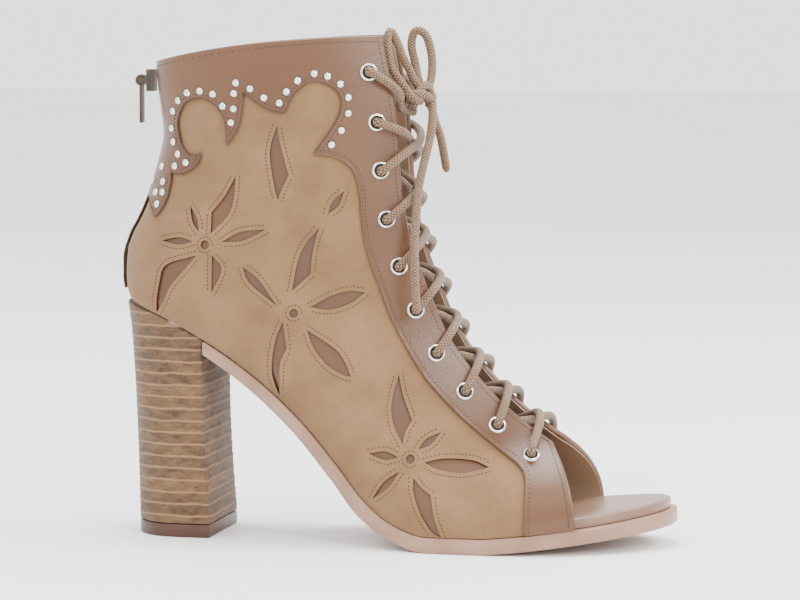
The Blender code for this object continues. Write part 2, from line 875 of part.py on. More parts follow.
def from_hole(place, normal):
    """The straight way out of an eyelet and the bend above it."""
    return [
        place - normal * GAP,
        place + normal * (OVERLAY + 4 * GAP + EYELET_RISE),
        place + normal * (lace_over() + LACE_BEND),
    ]


def into_hole(place, normal):
    """The bend behind an eyelet and the straight way into it from inside the shoe."""
    return [
        place - normal * (lace_under() + LACE_TUCK),
        place - normal * (UPPER_WALL + GAP),
        place - normal * 2 * GAP,
    ]


def over_edge(side, share):
    """Where the lace rests on the throat's edge, and the edge's normal."""
    edge, normal, past_edge = edge_frame(side, share)
    return edge + normal * lace_over() + past_edge * LACE_REACH, normal


def under_edge(side, share):
    edge, normal, past_edge = edge_frame(side, share)
    return edge - normal * lace_under() + past_edge * 0.5 * LACE_REACH, normal


def crossing_route(seats, side, i, rise):
    """From eyelet i up over this side's edge, through the middle to the next eyelet up on the
    other side: under the edge, or at the top over it and then up inside to the last eyelet."""
    here, above = eyelet_share(i), eyelet_share(i - 1)
    start, normal = over_edge(side, here + EDGE_START * (above - here))
    reach = here + EDGE_END * (above - here)
    end, end_normal = over_edge(-side, reach) if i == TOP_CROSSING else under_edge(-side, reach)
    ahead = normal + end_normal
    ahead.y = 0.0
    middle = 0.5 * (start + end) + ahead.normalized() * LACE_REACH
    middle.y = 0.0
    route = [*from_hole(*seats[side][i]), start, middle + ahead.normalized() * rise, end]
    goal = seats[-side][i - 1]
    if i > TOP_CROSSING:
        return [*route, *into_hole(*goal)]
    through_hole = [*reversed(from_hole(*goal)[1:]), *reversed(into_hole(*goal)[:2])]
    return [*route, *through_hole, *into_hole(*seats[-side][i - 2])]


def make_crossing(seats, i, home, cutters, look):
    name = "lace_cross_%02d" % (i - TOP_CROSSING + 1)
    spans = (1, 1, 1, 2, 2, 1, 1, 1, 1, 2, 1, 1)
    outer = smooth_route(crossing_route(seats, OUTER, i, SADDLE), spans)
    inner = smooth_route(crossing_route(seats, INNER, i, -SADDLE), spans)
    made = cord_mesh(name, outer, home, look)
    other = cord_mesh(name + "_other", inner, cutters)
    other.display_type = "WIRE"
    other.hide_render = True
    add_boolean(made, other, "UNION")
    return made


def make_bottom_bar(seats, home, look):
    """The stretch inside the shoe between the lowest pair of eyelets."""
    low = EYELETS - 1
    route = []
    for side in (OUTER, INNER):
        place, normal = seats[side][low]
        rim, rim_normal, _ = edge_frame(side, eyelet_share(low))
        half = [
            place - normal * 2 * GAP,
            place - normal * (UPPER_WALL + GAP),
            place - normal * (lace_under() + LACE_BEND),
            rim - rim_normal * (lace_under() + BAR_TUCK),
        ]
        route = half if not route else [*route, *reversed(half)]
    return cord_mesh("lace_bar", smooth_route(route, (1, 1, 1, 3, 1, 1, 1)), home, look)


def at(x, y, z):
    """A hand-chosen place: x and y in mm, z as mm over a 205 mm high boot."""
    return Vector((along((x + 23.3) / 230.0), y * MM, front_height() * z / 205.1))


# Lace ends, loops and knot, by hand: (x, y, z)
def make_tie(seats, home, cutters, look):
    """The two cords from the top eyelets to the knot."""
    halves = []
    for side in (OUTER, INNER):
        top, below = eyelet_share(0), eyelet_share(1)
        edge, _ = over_edge(side, top + TIE_DROP * (below - top))
        halves.append([*from_hole(*seats[side][0]), edge, at(*TIE_MIDDLES[side]), at(*TIE_TOPS[side])])
    spans = (1, 1, 2, 2, 2)
    made = cord_mesh("lace_tie", smooth_route(halves[0], spans), home, look)
    other = cord_mesh("lace_tie_other", smooth_route(halves[1], spans), cutters)
    other.display_type = "WIRE"
    other.hide_render = True
    add_boolean(made, other, "UNION")
    return made


def make_bow(home, look):
    cords = {
        "lace_loop_outer": OUTER_LOOP,
        "lace_loop_inner": INNER_LOOP,
        "lace_end_long": LONG_END,
        "lace_end_short": SHORT_END,
    }
    cord_mesh("lace_knot", smooth_route([at(*p) for p in KNOT], [2] * len(KNOT)), home, look)
    for name, places in cords.items():
        cord_curve(name, smooth_route([at(*p) for p in places], [2] * len(places)), home, look)


def make_zip_chain(home, look):
    """Closed teeth and tape: a strip up the centre back, just off the upper."""
    steps = 14
    low = SEAT_HEIGHT + 3 * ZIP_THICKNESS
    high = SEAT_HEIGHT + SHAFT_HEIGHT - ZIP_THICKNESS
    mesh = bmesh.new()
    rings = []
    for i in range(steps + 1):
        z = low + (high - low) * i / steps
        here = back_point(z)
        slope = back_point(z + MM) - back_point(z - MM)
        away = Vector((-slope.z, 0.0, slope.x)).normalized()
        ring = []
        near, far = 2 * GAP, 2 * GAP + ZIP_THICKNESS
        for off, y in ((near, -0.5), (near, 0.5), (far, 0.5), (far, -0.5)):
            ring.append(mesh.verts.new(here + away * off + Vector((0.0, y * ZIP_WIDTH, 0.0))))
        rings.append(ring)
    for a, b in zip(rings, rings[1:]):
        for j in range(4):
            n = (j + 1) % 4
            mesh.faces.new((a[j], a[n], b[n], b[j]))
    mesh.faces.new(rings[0])
    mesh.faces.new(rings[-1])
    bmesh.ops.recalc_face_normals(mesh, faces=mesh.faces)
    return add_object("zip_chain", bmesh_data("zip_chain", mesh), look, home)


def box_mesh(name, size):
    mesh = bmesh.new()
    bmesh.ops.create_cube(mesh, size=1.0, matrix=Matrix.Diagonal((*size, 1.0)))
    return bmesh_data(name, mesh)


def rod_mesh(name, radius, length, sides):
    """Rod along Y."""
    mesh = bmesh.new()
    turn = Matrix.Rotation(math.radians(90), 4, "X")
    bmesh.ops.create_cone(
        mesh, cap_ends=True, segments=sides, radius1=radius, radius2=radius, depth=length, matrix=turn
    )
    return bmesh_data(name, mesh)


def slider_place():
    """Middle of the slider's inner face, near the top of the zip."""
    z = SEAT_HEIGHT + SHAFT_HEIGHT - 2 * ZIP_THICKNESS - 0.5 * SLIDER[2]
    lean = max(back_point(z - 0.5 * SLIDER[2]).x - back_point(z).x, 0.0)
    return Vector((back_point(z).x - 4 * GAP - ZIP_THICKNESS - lean, 0.0, z))


def pin_place():
    reach = 0.5 * PULL_PIN + PULL_RUNNING_GAP + PULL_THICKNESS
    return slider_place() - Vector((SLIDER[0] + reach + GAP, 0.0, 0.0))


def make_slider(home, cutters, look):
    seat = slider_place()
    made = add_object("zip_slider", box_mesh("zip_slider", SLIDER), look, home)
    made.location = seat - Vector((0.5 * SLIDER[0], 0.0, 0.0))
    pin = pin_place()
    span = PULL_WIDTH + 2 * GAP + SLIDER_EAR[1]
    reach = seat.x - SLIDER[0] - pin.x + 0.5 * SLIDER_EAR[2]
    for side in (OUTER, INNER):
        ear = make_cutter(
            "slider_ear_" + side_name(side),
            box_mesh("ear", (reach + 0.5 * SLIDER[0], SLIDER_EAR[1], SLIDER_EAR[2])),
            cutters,
        )
        middle = pin.x - 0.5 * SLIDER_EAR[2] + 0.5 * (reach + 0.5 * SLIDER[0])
        ear.location = (middle, side * 0.5 * span, pin.z)
        add_boolean(made, ear, "UNION")
    rod = make_cutter("slider_pin", rod_mesh("pin", 0.5 * PULL_PIN, span, 8), cutters)
    rod.location = pin
    add_boolean(made, rod, "UNION")
    return made


def make_pull(home, cutters, look):
    """Pull tab, hanging from the slider's pin. Its origin is on the pin's axis."""
    bore = 0.5 * PULL_PIN + PULL_RUNNING_GAP
    made = add_object("zip_pull", rod_mesh("zip_pull", bore + PULL_THICKNESS, PULL_WIDTH, 12), look, home)
    made.location = pin_place()
    tab = make_cutter("pull_tab", box_mesh("tab", (PULL_THICKNESS, PULL_WIDTH, PULL_LENGTH)), cutters)
    tab.location = pin_place() - Vector((0.0, 0.0, bore + 0.5 * PULL_LENGTH))
    hole = make_cutter("pull_bore", rod_mesh("bore", bore, 2 * PULL_WIDTH, 12), cutters)
    hole.location = pin_place()
    add_boolean(made, tab, "UNION")
    add_boolean(made, hole, "DIFFERENCE")
    return made


def main():
    clear_scene()
    home = collection("ankle_boot")
    cutters = collection("cutters")
    looks = {
        "suede": material("suede", (0.45, 0.33, 0.21), 0.95),
        "leather": material("leather", (0.33, 0.21, 0.15), 0.4),
        "sole": material("sole", (0.30, 0.17, 0.11), 0.5),
        "stack": material("stack", (0.27, 0.17, 0.09), 0.9),
        "lift": material("lift", (0.25, 0.11, 0.07), 0.5),
        "metal": material("metal", (0.80, 0.78, 0.75), 0.25, 1.0),
        "lace": material("lace", (0.40, 0.26, 0.15), 0.7),
    }
    make_outsole(home, looks["sole"])
    make_heel(home, looks["stack"], looks["lift"])
    make_insole(home, looks["leather"])
    upper = make_upper(home, looks["suede"])
    overlays = [make_overlay(side, home, cutters, looks["leather"]) for side in (OUTER, INNER)]
    seats = eyelet_seats(surface_trees())
    punch = make_eyelets(seats, home, cutters, looks["metal"])
    for leather in (upper, *overlays):
        add_boolean(leather, punch, "DIFFERENCE")
    for i in range(TOP_CROSSING, EYELETS):
        make_crossing(seats, i, home, cutters, looks["lace"])
    make_bottom_bar(seats, home, looks["lace"])
    make_tie(seats, home, cutters, looks["lace"])
    make_bow(home, looks["lace"])
    make_zip_chain(home, looks["metal"])
    make_slider(home, cutters, looks["metal"])
    make_pull(home, cutters, looks["metal"])


main()
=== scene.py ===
import math

import bmesh
import bpy
from mathutils import Matrix, Vector
from mathutils.bvhtree import BVHTree
from mathutils.kdtree import KDTree


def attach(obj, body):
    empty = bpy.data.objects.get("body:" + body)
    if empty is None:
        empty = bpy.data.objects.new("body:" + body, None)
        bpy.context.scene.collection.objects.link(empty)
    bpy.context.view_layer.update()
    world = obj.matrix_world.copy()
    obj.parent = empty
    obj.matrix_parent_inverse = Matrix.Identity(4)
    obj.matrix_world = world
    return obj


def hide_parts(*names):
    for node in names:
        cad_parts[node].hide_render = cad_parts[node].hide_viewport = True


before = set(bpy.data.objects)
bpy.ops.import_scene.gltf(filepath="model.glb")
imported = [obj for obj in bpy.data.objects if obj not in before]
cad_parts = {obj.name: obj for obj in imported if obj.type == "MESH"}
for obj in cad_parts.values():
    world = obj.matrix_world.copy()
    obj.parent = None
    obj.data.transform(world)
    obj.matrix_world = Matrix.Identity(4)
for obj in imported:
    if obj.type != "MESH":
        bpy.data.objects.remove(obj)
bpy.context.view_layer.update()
mm = 0.001
outer, inner = -1, 1

# Camera, floor and light
view = {"target": (0.0924, 0.0, 0.0976), "yaw": 12.3, "elevation": 5.0, "distance": 1.5, "lens": 164.9}
studio = {
    "floor": 6.0,
    "key": ((-0.55, -1.1, 1.35), 0.9, 12.5),
    "fill": ((1.15, -0.95, 0.75), 0.55, 17.0),
    "top": ((0.1, 0.2, 1.6), 1.0, 27.0),
    "back": ((1.05, 0.2, 1.05), 0.5, 15.0),
    "world": 2.2,
}


def makeCamera():
    yaw, tilt = math.radians(view["yaw"]), math.radians(view["elevation"])
    ahead = Vector((-math.sin(yaw) * math.cos(tilt), math.cos(yaw) * math.cos(tilt), -math.sin(tilt)))
    lens = bpy.data.cameras.new("camera")
    lens.lens = view["lens"]
    lens.sensor_width = 36.0
    lens.clip_end = 20.0
    made = bpy.data.objects.new("camera", lens)
    made.location = Vector(view["target"]) - ahead * view["distance"]
    made.rotation_euler = ahead.to_track_quat("-Z", "Y").to_euler()
    bpy.context.scene.collection.objects.link(made)
    bpy.context.scene.camera = made


def makeLight(name, place, size, power):
    lamp = bpy.data.lights.new(name, "AREA")
    lamp.shape = "DISK"
    lamp.size = size
    lamp.energy = power
    made = bpy.data.objects.new(name, lamp)
    made.location = place
    made.rotation_euler = (Vector(view["target"]) - Vector(place)).to_track_quat("-Z", "Y").to_euler()
    bpy.context.scene.collection.objects.link(made)


def makeStudio():
    for name in ("key", "fill", "top", "back"):
        makeLight(name, *studio[name])
    world = bpy.data.worlds.new("studio")
    world.use_nodes = True
    world.node_tree.nodes["Background"].inputs["Color"].default_value = (1.0, 1.0, 1.0, 1.0)
    world.node_tree.nodes["Background"].inputs["Strength"].default_value = studio["world"]
    bpy.context.scene.world = world
    mesh = bmesh.new()
    bmesh.ops.create_grid(mesh, x_segments=1, y_segments=1, size=studio["floor"])
    floor = newPiece("floor", mesh)
    look, tree, surface = shader("floor", (0.86, 0.86, 0.86), 0.7)
    cloud = noise(tree, 3.0, 2)
    tone = ramp(tree, cloud, ((0.3, (0.85, 0.85, 0.85)), (0.7, (0.88, 0.88, 0.88))))
    tree.links.new(tone, surface.inputs["Base Color"])
    floor.data.materials.append(look)


# Materials: small helpers, then one function for each finish
def shader(name, colour, roughness, **plain):
    made = bpy.data.materials.new(name)
    made.use_nodes = True
    tree = made.node_tree
    surface = tree.nodes["Principled BSDF"]
    surface.inputs["Base Color"].default_value = (*colour, 1.0)
    surface.inputs["Roughness"].default_value = roughness
    for socket, value in plain.items():
        surface.inputs[socket.replace("_", " ")].default_value = value
    return made, tree, surface


def add(tree, kind, settings=None, inputs=None):
    made = tree.nodes.new("ShaderNode" + kind)
    for name, value in (settings or {}).items():
        setattr(made, name, value)
    for socket, value in (inputs or {}).items():
        if isinstance(value, bpy.types.NodeSocket):
            tree.links.new(value, made.inputs[socket])
        else:
            made.inputs[socket].default_value = value
    return made


def spots(tree, stretch=(1.0, 1.0, 1.0), turn=(0.0, 0.0, 0.0), source="Object"):
    place = add(tree, "TexCoord").outputs[source]
    return add(tree, "Mapping", None, {"Vector": place, "Scale": stretch, "Rotation": turn}).outputs[0]


def noise(tree, scale, detail=3.0, rough=0.5, where=None):
    where = where or spots(tree)
    inputs = {"Vector": where, "Scale": scale, "Detail": detail, "Roughness": rough}
    return add(tree, "TexNoise", None, inputs).outputs["Fac"]


def ramp(tree, value, stops):
    made = add(tree, "ValToRGB", None, {"Fac": value})
    first, last = made.color_ramp.elements
    first.position, first.color = stops[0][0], (*stops[0][1], 1.0)
    last.position, last.color = stops[-1][0], (*stops[-1][1], 1.0)
    for place, colour in stops[1:-1]:
        made.color_ramp.elements.new(place).color = (*colour, 1.0)
    return made.outputs["Color"]


def grey(tree, value, low, high, dark=0.0, light=1.0):
    return add(tree, "MapRange", None, {
        "Value": value, "From Min": low, "From Max": high, "To Min": dark, "To Max": light,
    }).outputs[0]


def blend(tree, amount, first, second, way="MIX"):
    made = add(tree, "Mix", {"data_type": "RGBA", "blend_type": way}, {0: amount})
    for socket, value in ((6, first), (7, second)):
        if isinstance(value, bpy.types.NodeSocket):
            tree.links.new(value, made.inputs[socket])
        else:
            made.inputs[socket].default_value = (*value, 1.0)
    return made.outputs[2]


def calc(tree, way, first, second=0.0):
    made = add(tree, "Math", {"operation": way})
    for socket, value in ((0, first), (1, second)):
        if isinstance(value, bpy.types.NodeSocket):
            tree.links.new(value, made.inputs[socket])
        else:
            made.inputs[socket].default_value = value
    return made.outputs[0]


def bump(tree, height, depth, strength=1.0, under=None):
    inputs = {"Height": height, "Distance": depth, "Strength": strength}
    if under:
        inputs["Normal"] = under
    return add(tree, "Bump", None, inputs).outputs[0]


suede = {"light": (0.212, 0.119, 0.054), "base": (0.176, 0.094, 0.040), "dark": (0.136, 0.069, 0.027)}


def suedeLook(name="suede"):
    look, tree, surface = shader(name, suede["base"], 0.95, Sheen_Weight=0.10, Sheen_Roughness=0.45)
    surface.inputs["Sheen Tint"].default_value = (0.95, 0.85, 0.72, 1.0)
    brushed = noise(tree, 42.0, 5.0, 0.6)
    tone = ramp(tree, brushed, ((0.28, suede["dark"]), (0.5, suede["base"]), (0.72, suede["light"])))
    nap = noise(tree, 900.0, 4.0, 0.7, spots(tree, (1.0, 1.0, 0.45), (0.0, 0.5, 0.0)))
    tone = blend(tree, grey(tree, nap, 0.42, 0.75, 0.0, 0.30), tone, suede["dark"])
    fuzz = noise(tree, 2600.0, 2.0, 0.6)
    tone = blend(tree, grey(tree, fuzz, 0.55, 0.8, 0.0, 0.22), tone, suede["light"])
    tree.links.new(tone, surface.inputs["Base Color"])
    low = bump(tree, nap, 0.25 * mm, 0.5)
    tree.links.new(bump(tree, fuzz, 0.12 * mm, 0.6, low), surface.inputs["Normal"])
    return look


leather = {
    "collar": ((0.066, 0.022, 0.004), (0.090, 0.031, 0.006), (0.120, 0.047, 0.012)),
    "inlay": ((0.058, 0.018, 0.003), (0.080, 0.027, 0.005), (0.105, 0.040, 0.010)),
    "lining": ((0.200, 0.120, 0.070), (0.270, 0.172, 0.108), (0.330, 0.220, 0.145)),
    "footbed": ((0.140, 0.074, 0.043), (0.185, 0.105, 0.066), (0.225, 0.138, 0.092)),
    "edge": ((0.045, 0.020, 0.010), (0.075, 0.036, 0.018), (0.200, 0.115, 0.070)),
}


def leatherLook(name, tones, roughness=0.36, grain=1.0):
    dark, base, light = tones
    look, tree, surface = shader(name, base, roughness, Coat_Weight=0.25, Coat_Roughness=0.30)
    surface.inputs["Specular IOR Level"].default_value = 0.42
    cloud = noise(tree, 26.0, 3.0, 0.5)
    tone = ramp(tree, cloud, ((0.3, dark), (0.5, base), (0.75, light)))
    tone = blend(tree, 0.45, tone, base)
    speck = noise(tree, 1400.0, 2.0, 0.6)
    tone = blend(tree, grey(tree, speck, 0.5, 0.8, 0.0, 0.18), tone, dark)
    tree.links.new(tone, surface.inputs["Base Color"])
    tree.links.new(grey(tree, cloud, 0.3, 0.7, roughness - 0.07, roughness + 0.10), surface.inputs["Roughness"])
    cells = add(tree, "TexVoronoi", {"feature": "DISTANCE_TO_EDGE"}, {"Vector": spots(tree), "Scale": 900.0})
    pores = grey(tree, cells.outputs["Distance"], 0.0, 0.25)
    low = bump(tree, noise(tree, 160.0, 3.0), 0.5 * mm, 0.22 * grain)
    tree.links.new(bump(tree, pores, 0.06 * mm, 0.4 * grain, low), surface.inputs["Normal"])
    return look


stack = {"layer": 4.9, "dark": (0.050, 0.022, 0.008), "base": (0.118, 0.058, 0.022), "light": (0.270, 0.155, 0.068)}


def stackLook():
    look, tree, surface = shader("stack", stack["base"], 0.88, Sheen_Weight=0.12)
    split = add(tree, "SeparateXYZ", None, {0: spots(tree)})
    wander = noise(tree, 90.0, 3.0)
    height = calc(tree, "ADD", calc(tree, "MULTIPLY", split.outputs[2], 1.0 / (stack["layer"] * mm)),
                  calc(tree, "MULTIPLY", wander, 0.34))
    share = calc(tree, "FRACT", height)
    line = grey(tree, calc(tree, "ABSOLUTE", calc(tree, "SUBTRACT", share, 0.5)), 0.37, 0.47)
    band = add(tree, "TexWhiteNoise", {"noise_dimensions": "1D"}, {"W": calc(tree, "FLOOR", height)})
    rough = noise(tree, 150.0, 6.0, 0.75, spots(tree, (1.0, 1.0, 2.6)))
    tone = ramp(tree, rough, ((0.34, stack["dark"]), (0.5, stack["base"]), (0.68, (0.185, 0.103, 0.044))))
    tone = blend(tree, grey(tree, band.outputs["Value"], 0.0, 1.0, 0.0, 0.30), tone, stack["dark"], "MULTIPLY")
    tone = blend(tree, calc(tree, "MULTIPLY", line, 0.72), tone, stack["light"])
    fine = noise(tree, 1200.0, 3.0, 0.7)
    tone = blend(tree, grey(tree, fine, 0.5, 0.75, 0.0, 0.35), tone, stack["dark"])
    tree.links.new(tone, surface.inputs["Base Color"])
    low = bump(tree, calc(tree, "ADD", rough, calc(tree, "MULTIPLY", line, 0.25)), 0.9 * mm, 0.6)
    tree.links.new(bump(tree, fine, 0.25 * mm, 0.6, low), surface.inputs["Normal"])
    return look


def plainLook(name, dark, light, roughness, grain=900.0, depth=0.05, **plain):
    middle = tuple(0.5 * (a + b) for a, b in zip(dark, light))
    look, tree, surface = shader(name, middle, roughness, **plain)
    cloud = noise(tree, 70.0, 4.0)
    tree.links.new(ramp(tree, cloud, ((0.3, dark), (0.7, light))), surface.inputs["Base Color"])
    tree.links.new(grey(tree, cloud, 0.3, 0.7, roughness - 0.06, roughness + 0.08), surface.inputs["Roughness"])
    tree.links.new(bump(tree, noise(tree, grain, 2.0), depth * mm, 0.5), surface.inputs["Normal"])
    return look


def metalLook(name, colour, roughness):
    look, tree, surface = shader(name, colour, roughness, Metallic=1.0)
    rub = noise(tree, 400.0, 3.0)
    tree.links.new(grey(tree, rub, 0.3, 0.7, roughness - 0.06, roughness + 0.12), surface.inputs["Roughness"])
    shade = tuple(0.72 * c for c in colour)
    tree.links.new(ramp(tree, rub, ((0.35, shade), (0.6, colour))), surface.inputs["Base Color"])
    tree.links.new(bump(tree, noise(tree, 1500.0, 2.0), 0.02 * mm, 0.4), surface.inputs["Normal"])
    return look


# light is a painted highlight on the strand crowns; dark is painted shade in the lines between strands, and also the
# random mottle
braid = {"light": (0.260, 0.140, 0.060), "base": (0.125, 0.058, 0.021), "dark": (0.022, 0.009, 0.003), "strand": 1.35}


def braidLook():
    look, tree, surface = shader("braid", braid["base"], 0.62, Coat_Weight=0.06, Sheen_Weight=0.15)
    split = add(tree, "SeparateXYZ", None, {0: spots(tree, source="UV")})
    run = calc(tree, "MULTIPLY", split.outputs[0], 1.0 / (braid["strand"] * mm))
    turn = calc(tree, "MULTIPLY", split.outputs[1], 6.0)
    strands = []
    for way in ("ADD", "SUBTRACT"):
        slant = calc(tree, "FRACT", calc(tree, way, run, turn))
        strands.append(calc(tree, "ABSOLUTE", calc(tree, "SUBTRACT", slant, 0.5)))
    weave = calc(tree, "MAXIMUM", *strands)  # 0.5 at the lines between strands, where painted shade goes; low on the strand crowns, where painted highlight goes
    # painted highlight on the strand crowns and painted shade in the lines between them
    tone = ramp(tree, weave, ((0.27, braid["light"]), (0.38, braid["base"]), (0.46, braid["dark"])))
    mottle = noise(tree, 700.0, 3.0, 0.7)
    tone = blend(tree, grey(tree, mottle, 0.48, 0.7, 0.0, 0.55), tone, braid["dark"])
    tree.links.new(tone, surface.inputs["Base Color"])
    low = bump(tree, grey(tree, weave, 0.25, 0.5, 1.0, 0.0), 0.35 * mm, 0.8)
    tree.links.new(bump(tree, mottle, 0.1 * mm, 0.5, low), surface.inputs["Normal"])
    return look


# Small mesh helpers
def newPiece(name, mesh, looks=(), smooth=None):
    data = bpy.data.meshes.new(name)
    mesh.to_mesh(data)
    mesh.free()
    for look in looks:
        data.materials.append(look)
    made = bpy.data.objects.new(name, data)
    bpy.context.scene.collection.objects.link(made)
    if smooth is not None:
        shadeSmooth(data, smooth)
    return made


def shadeSmooth(data, degrees):
    data.shade_smooth()
    data.set_sharp_from_angle(angle=math.radians(degrees))


def settle(piece, smooth=None):  # applies the modifiers
    bpy.context.view_layer.update()
    graph = bpy.context.evaluated_depsgraph_get()
    data = bpy.data.meshes.new_from_object(piece.evaluated_get(graph), preserve_all_data_layers=True, depsgraph=graph)
    piece.modifiers.clear()
    piece.data = data
    if smooth is not None:
        shadeSmooth(data, smooth)
    return piece


def cut(piece, other, way="DIFFERENCE"):
    made = piece.modifiers.new(way.lower(), "BOOLEAN")
    made.operation = way
    made.solver = "EXACT"
    made.object = other
    made.material_mode = "TRANSFER"


def drop(*things):
    for thing in things:
        bpy.data.objects.remove(thing, do_unlink=True)


def curveThrough(points, pitch, closed=False):  # a Catmull-Rom curve at an even pitch
    if closed:
        ends = [points[-1], *points, points[0], points[1]]
    else:
        ends = [2 * points[0] - points[1], *points, 2 * points[-1] - points[-2]]
    fine = []
    for a, b, c, d in zip(ends, ends[1:], ends[2:], ends[3:]):
        for k in range(12):
            s = k / 12
            bend = (2 * a - 5 * b + 4 * c - d) * s * s + (3 * b - a - 3 * c + d) * s**3
            fine.append(0.5 * (2 * b + (c - a) * s + bend))
    fine.append(points[0].copy() if closed else points[-1].copy())
    return evenly(fine, pitch)


def evenly(fine, pitch):
    total = sum((b - a).length for a, b in zip(fine, fine[1:]))
    count = max(round(total / pitch), 1)
    marks, walked, goal = [fine[0].copy()], 0.0, total / count
    for a, b in zip(fine, fine[1:]):
        span = (b - a).length
        while span > 0 and walked + span >= goal - 1e-12 and len(marks) < count:
            marks.append(a.lerp(b, (goal - walked) / span))
            goal += total / count
        walked += span
    marks.append(fine[-1].copy())
    return marks


def sweep(mesh, places, ups, sizes, sides=10, look=0):  # a grid wrapped round a path, ends closed
    count = len(places)
    made = bmesh.ops.create_grid(mesh, x_segments=count - 1, y_segments=sides, size=0.5)["verts"]
    uv = mesh.loops.layers.uv.verify()
    where = {v: (round((v.co.x + 0.5) * (count - 1)), round((v.co.y + 0.5) * sides)) for v in made}
    runs = [0.0]
    for a, b in zip(places, places[1:]):
        runs.append(runs[-1] + (b - a).length)
    faces = {face for v in made for face in v.link_faces}
    for face in faces:
        face.material_index = look
        face.smooth = True
        for loop in face.loops:
            i, j = where[loop.vert]
            loop[uv].uv = (runs[i], j / sides)
    for v, (i, j) in where.items():
        ahead = (places[min(i + 1, count - 1)] - places[max(i - 1, 0)]).normalized()
        up = (ups[i] - ahead * ups[i].dot(ahead)).normalized()
        aside = ahead.cross(up)
        high, wide = sizes[i] if isinstance(sizes, list) else sizes
        turn = math.radians(360) * j / sides
        v.co = places[i] + up * (math.cos(turn) * high) + aside * (math.sin(turn) * wide)
    bmesh.ops.remove_doubles(mesh, verts=made, dist=1e-7)
    rims = [e for e in mesh.edges if e.is_boundary]
    caps = bmesh.ops.holes_fill(mesh, edges=rims, sides=0)["faces"]
    for cap in caps:
        cap.material_index = look


def steadyUps(places, first):  # frames that turn as little as possible along a path
    ups, up = [], first
    for i in range(len(places)):
        ahead = (places[min(i + 1, len(places) - 1)] - places[max(i - 1, 0)]).normalized()
        up = (up - ahead * up.dot(ahead)).normalized()
        ups.append(up)
    return ups


def scatter(name, template, matrices, looks):
    data = bpy.data.meshes.new("template")
    template.to_mesh(data)
    template.free()
    mesh = bmesh.new()
    for matrix in matrices:
        copy = data.copy()
        copy.transform(matrix)
        mesh.from_mesh(copy)
        bpy.data.meshes.remove(copy)
    bpy.data.meshes.remove(data)
    return newPiece(name, mesh, looks, 60)


def standing(place, normal, along=None):  # local Z on the normal, local X along a direction
    along = along or Vector((0.0, 0.0, 1.0)).cross(normal)
    along = (along - normal * along.dot(normal)).normalized()
    turn = Matrix((along, normal.cross(along), normal)).transposed()
    return Matrix.Translation(place) @ turn.to_4x4()


# The boot's form: the same lines and girths as the solids
boot = {  # sizes shared with the solids
    "length": 230.0 * mm,
    "ballWidth": 84.0 * mm,
    "seatHeight": 97.0 * mm,
    "shaftHeight": 97.2 * mm,
    "collarRise": 10.9 * mm,
    "backOverhang": 23.3 * mm,
    "throatGap": 25.0 * mm,
    "upperWall": 1.8 * mm,
    "gap": 0.3 * mm,
    "soleThickness": 6.2 * mm,
    "archThickness": 5.0 * mm,
    "toeSpring": 9.2 * mm,
    "toeSwing": 3.0 * mm,
    "soleMargin": 1.2 * mm,
    "insoleThickness": 4.2 * mm,
    "insoleMargin": 2.7 * mm,
    "heelLength": 37.0 * mm,
    "heelWidth": 50.0 * mm,
    "heelFootLength": 34.5 * mm,
    "heelFootWidth": 45.0 * mm,
    "topLift": 5.4 * mm,
    "overlay": 0.9 * mm,
    "eyelets": 10,
    "eyeletSetback": 7.0 * mm,
    "flatStart": 0.588,
    "flatEnd": 0.684,
    "toeEdge": 0.845,
}
soleLine = (
    (0.000, 1.000),
    (0.084, 0.939),
    (0.171, 0.826),
    (0.258, 0.681),
    (0.345, 0.493),
    (0.414, 0.306),
    (0.475, 0.133),
    (0.527, 0.044),
    (boot["flatStart"], 0.000),
    (boot["flatEnd"], 0.000),
)
solePlan = (
    (0.171, 0.305, 0.305),
    (0.258, 0.316, 0.304),
    (0.345, 0.340, 0.298),
    (0.430, 0.393, 0.318),
    (0.520, 0.475, 0.375),
    (0.600, 0.518, 0.436),
    (0.675, 0.524, 0.470),
)
backLine = (
    (0.00, 0.0065),
    (0.09, 0.000),
    (0.165, 0.000),
    (0.27, 0.012),
    (0.33, 0.026),
    (0.40, 0.040),
    (0.50, 0.056),
    (0.61, 0.070),
    (0.70, 0.077),
    (0.80, 0.073),
    (0.90, 0.067),
    (1.00, 0.064),
)
throatLine = (
    (0.481, 1.000),
    (0.497, 0.907),
    (0.505, 0.850),
    (0.510, 0.780),
    (0.517, 0.688),
    (0.528, 0.620),
    (0.544, 0.560),
    (0.564, 0.503),
    (0.589, 0.437),
    (0.616, 0.384),
    (0.650, 0.336),
    (0.692, 0.286),
    (0.737, 0.243),
    (0.786, 0.204),
)
girthColumns = (
    "throat", "end", "outer", "inner", "widest", "crown", "tail", "close", "gap", "bulge", "steps"
)
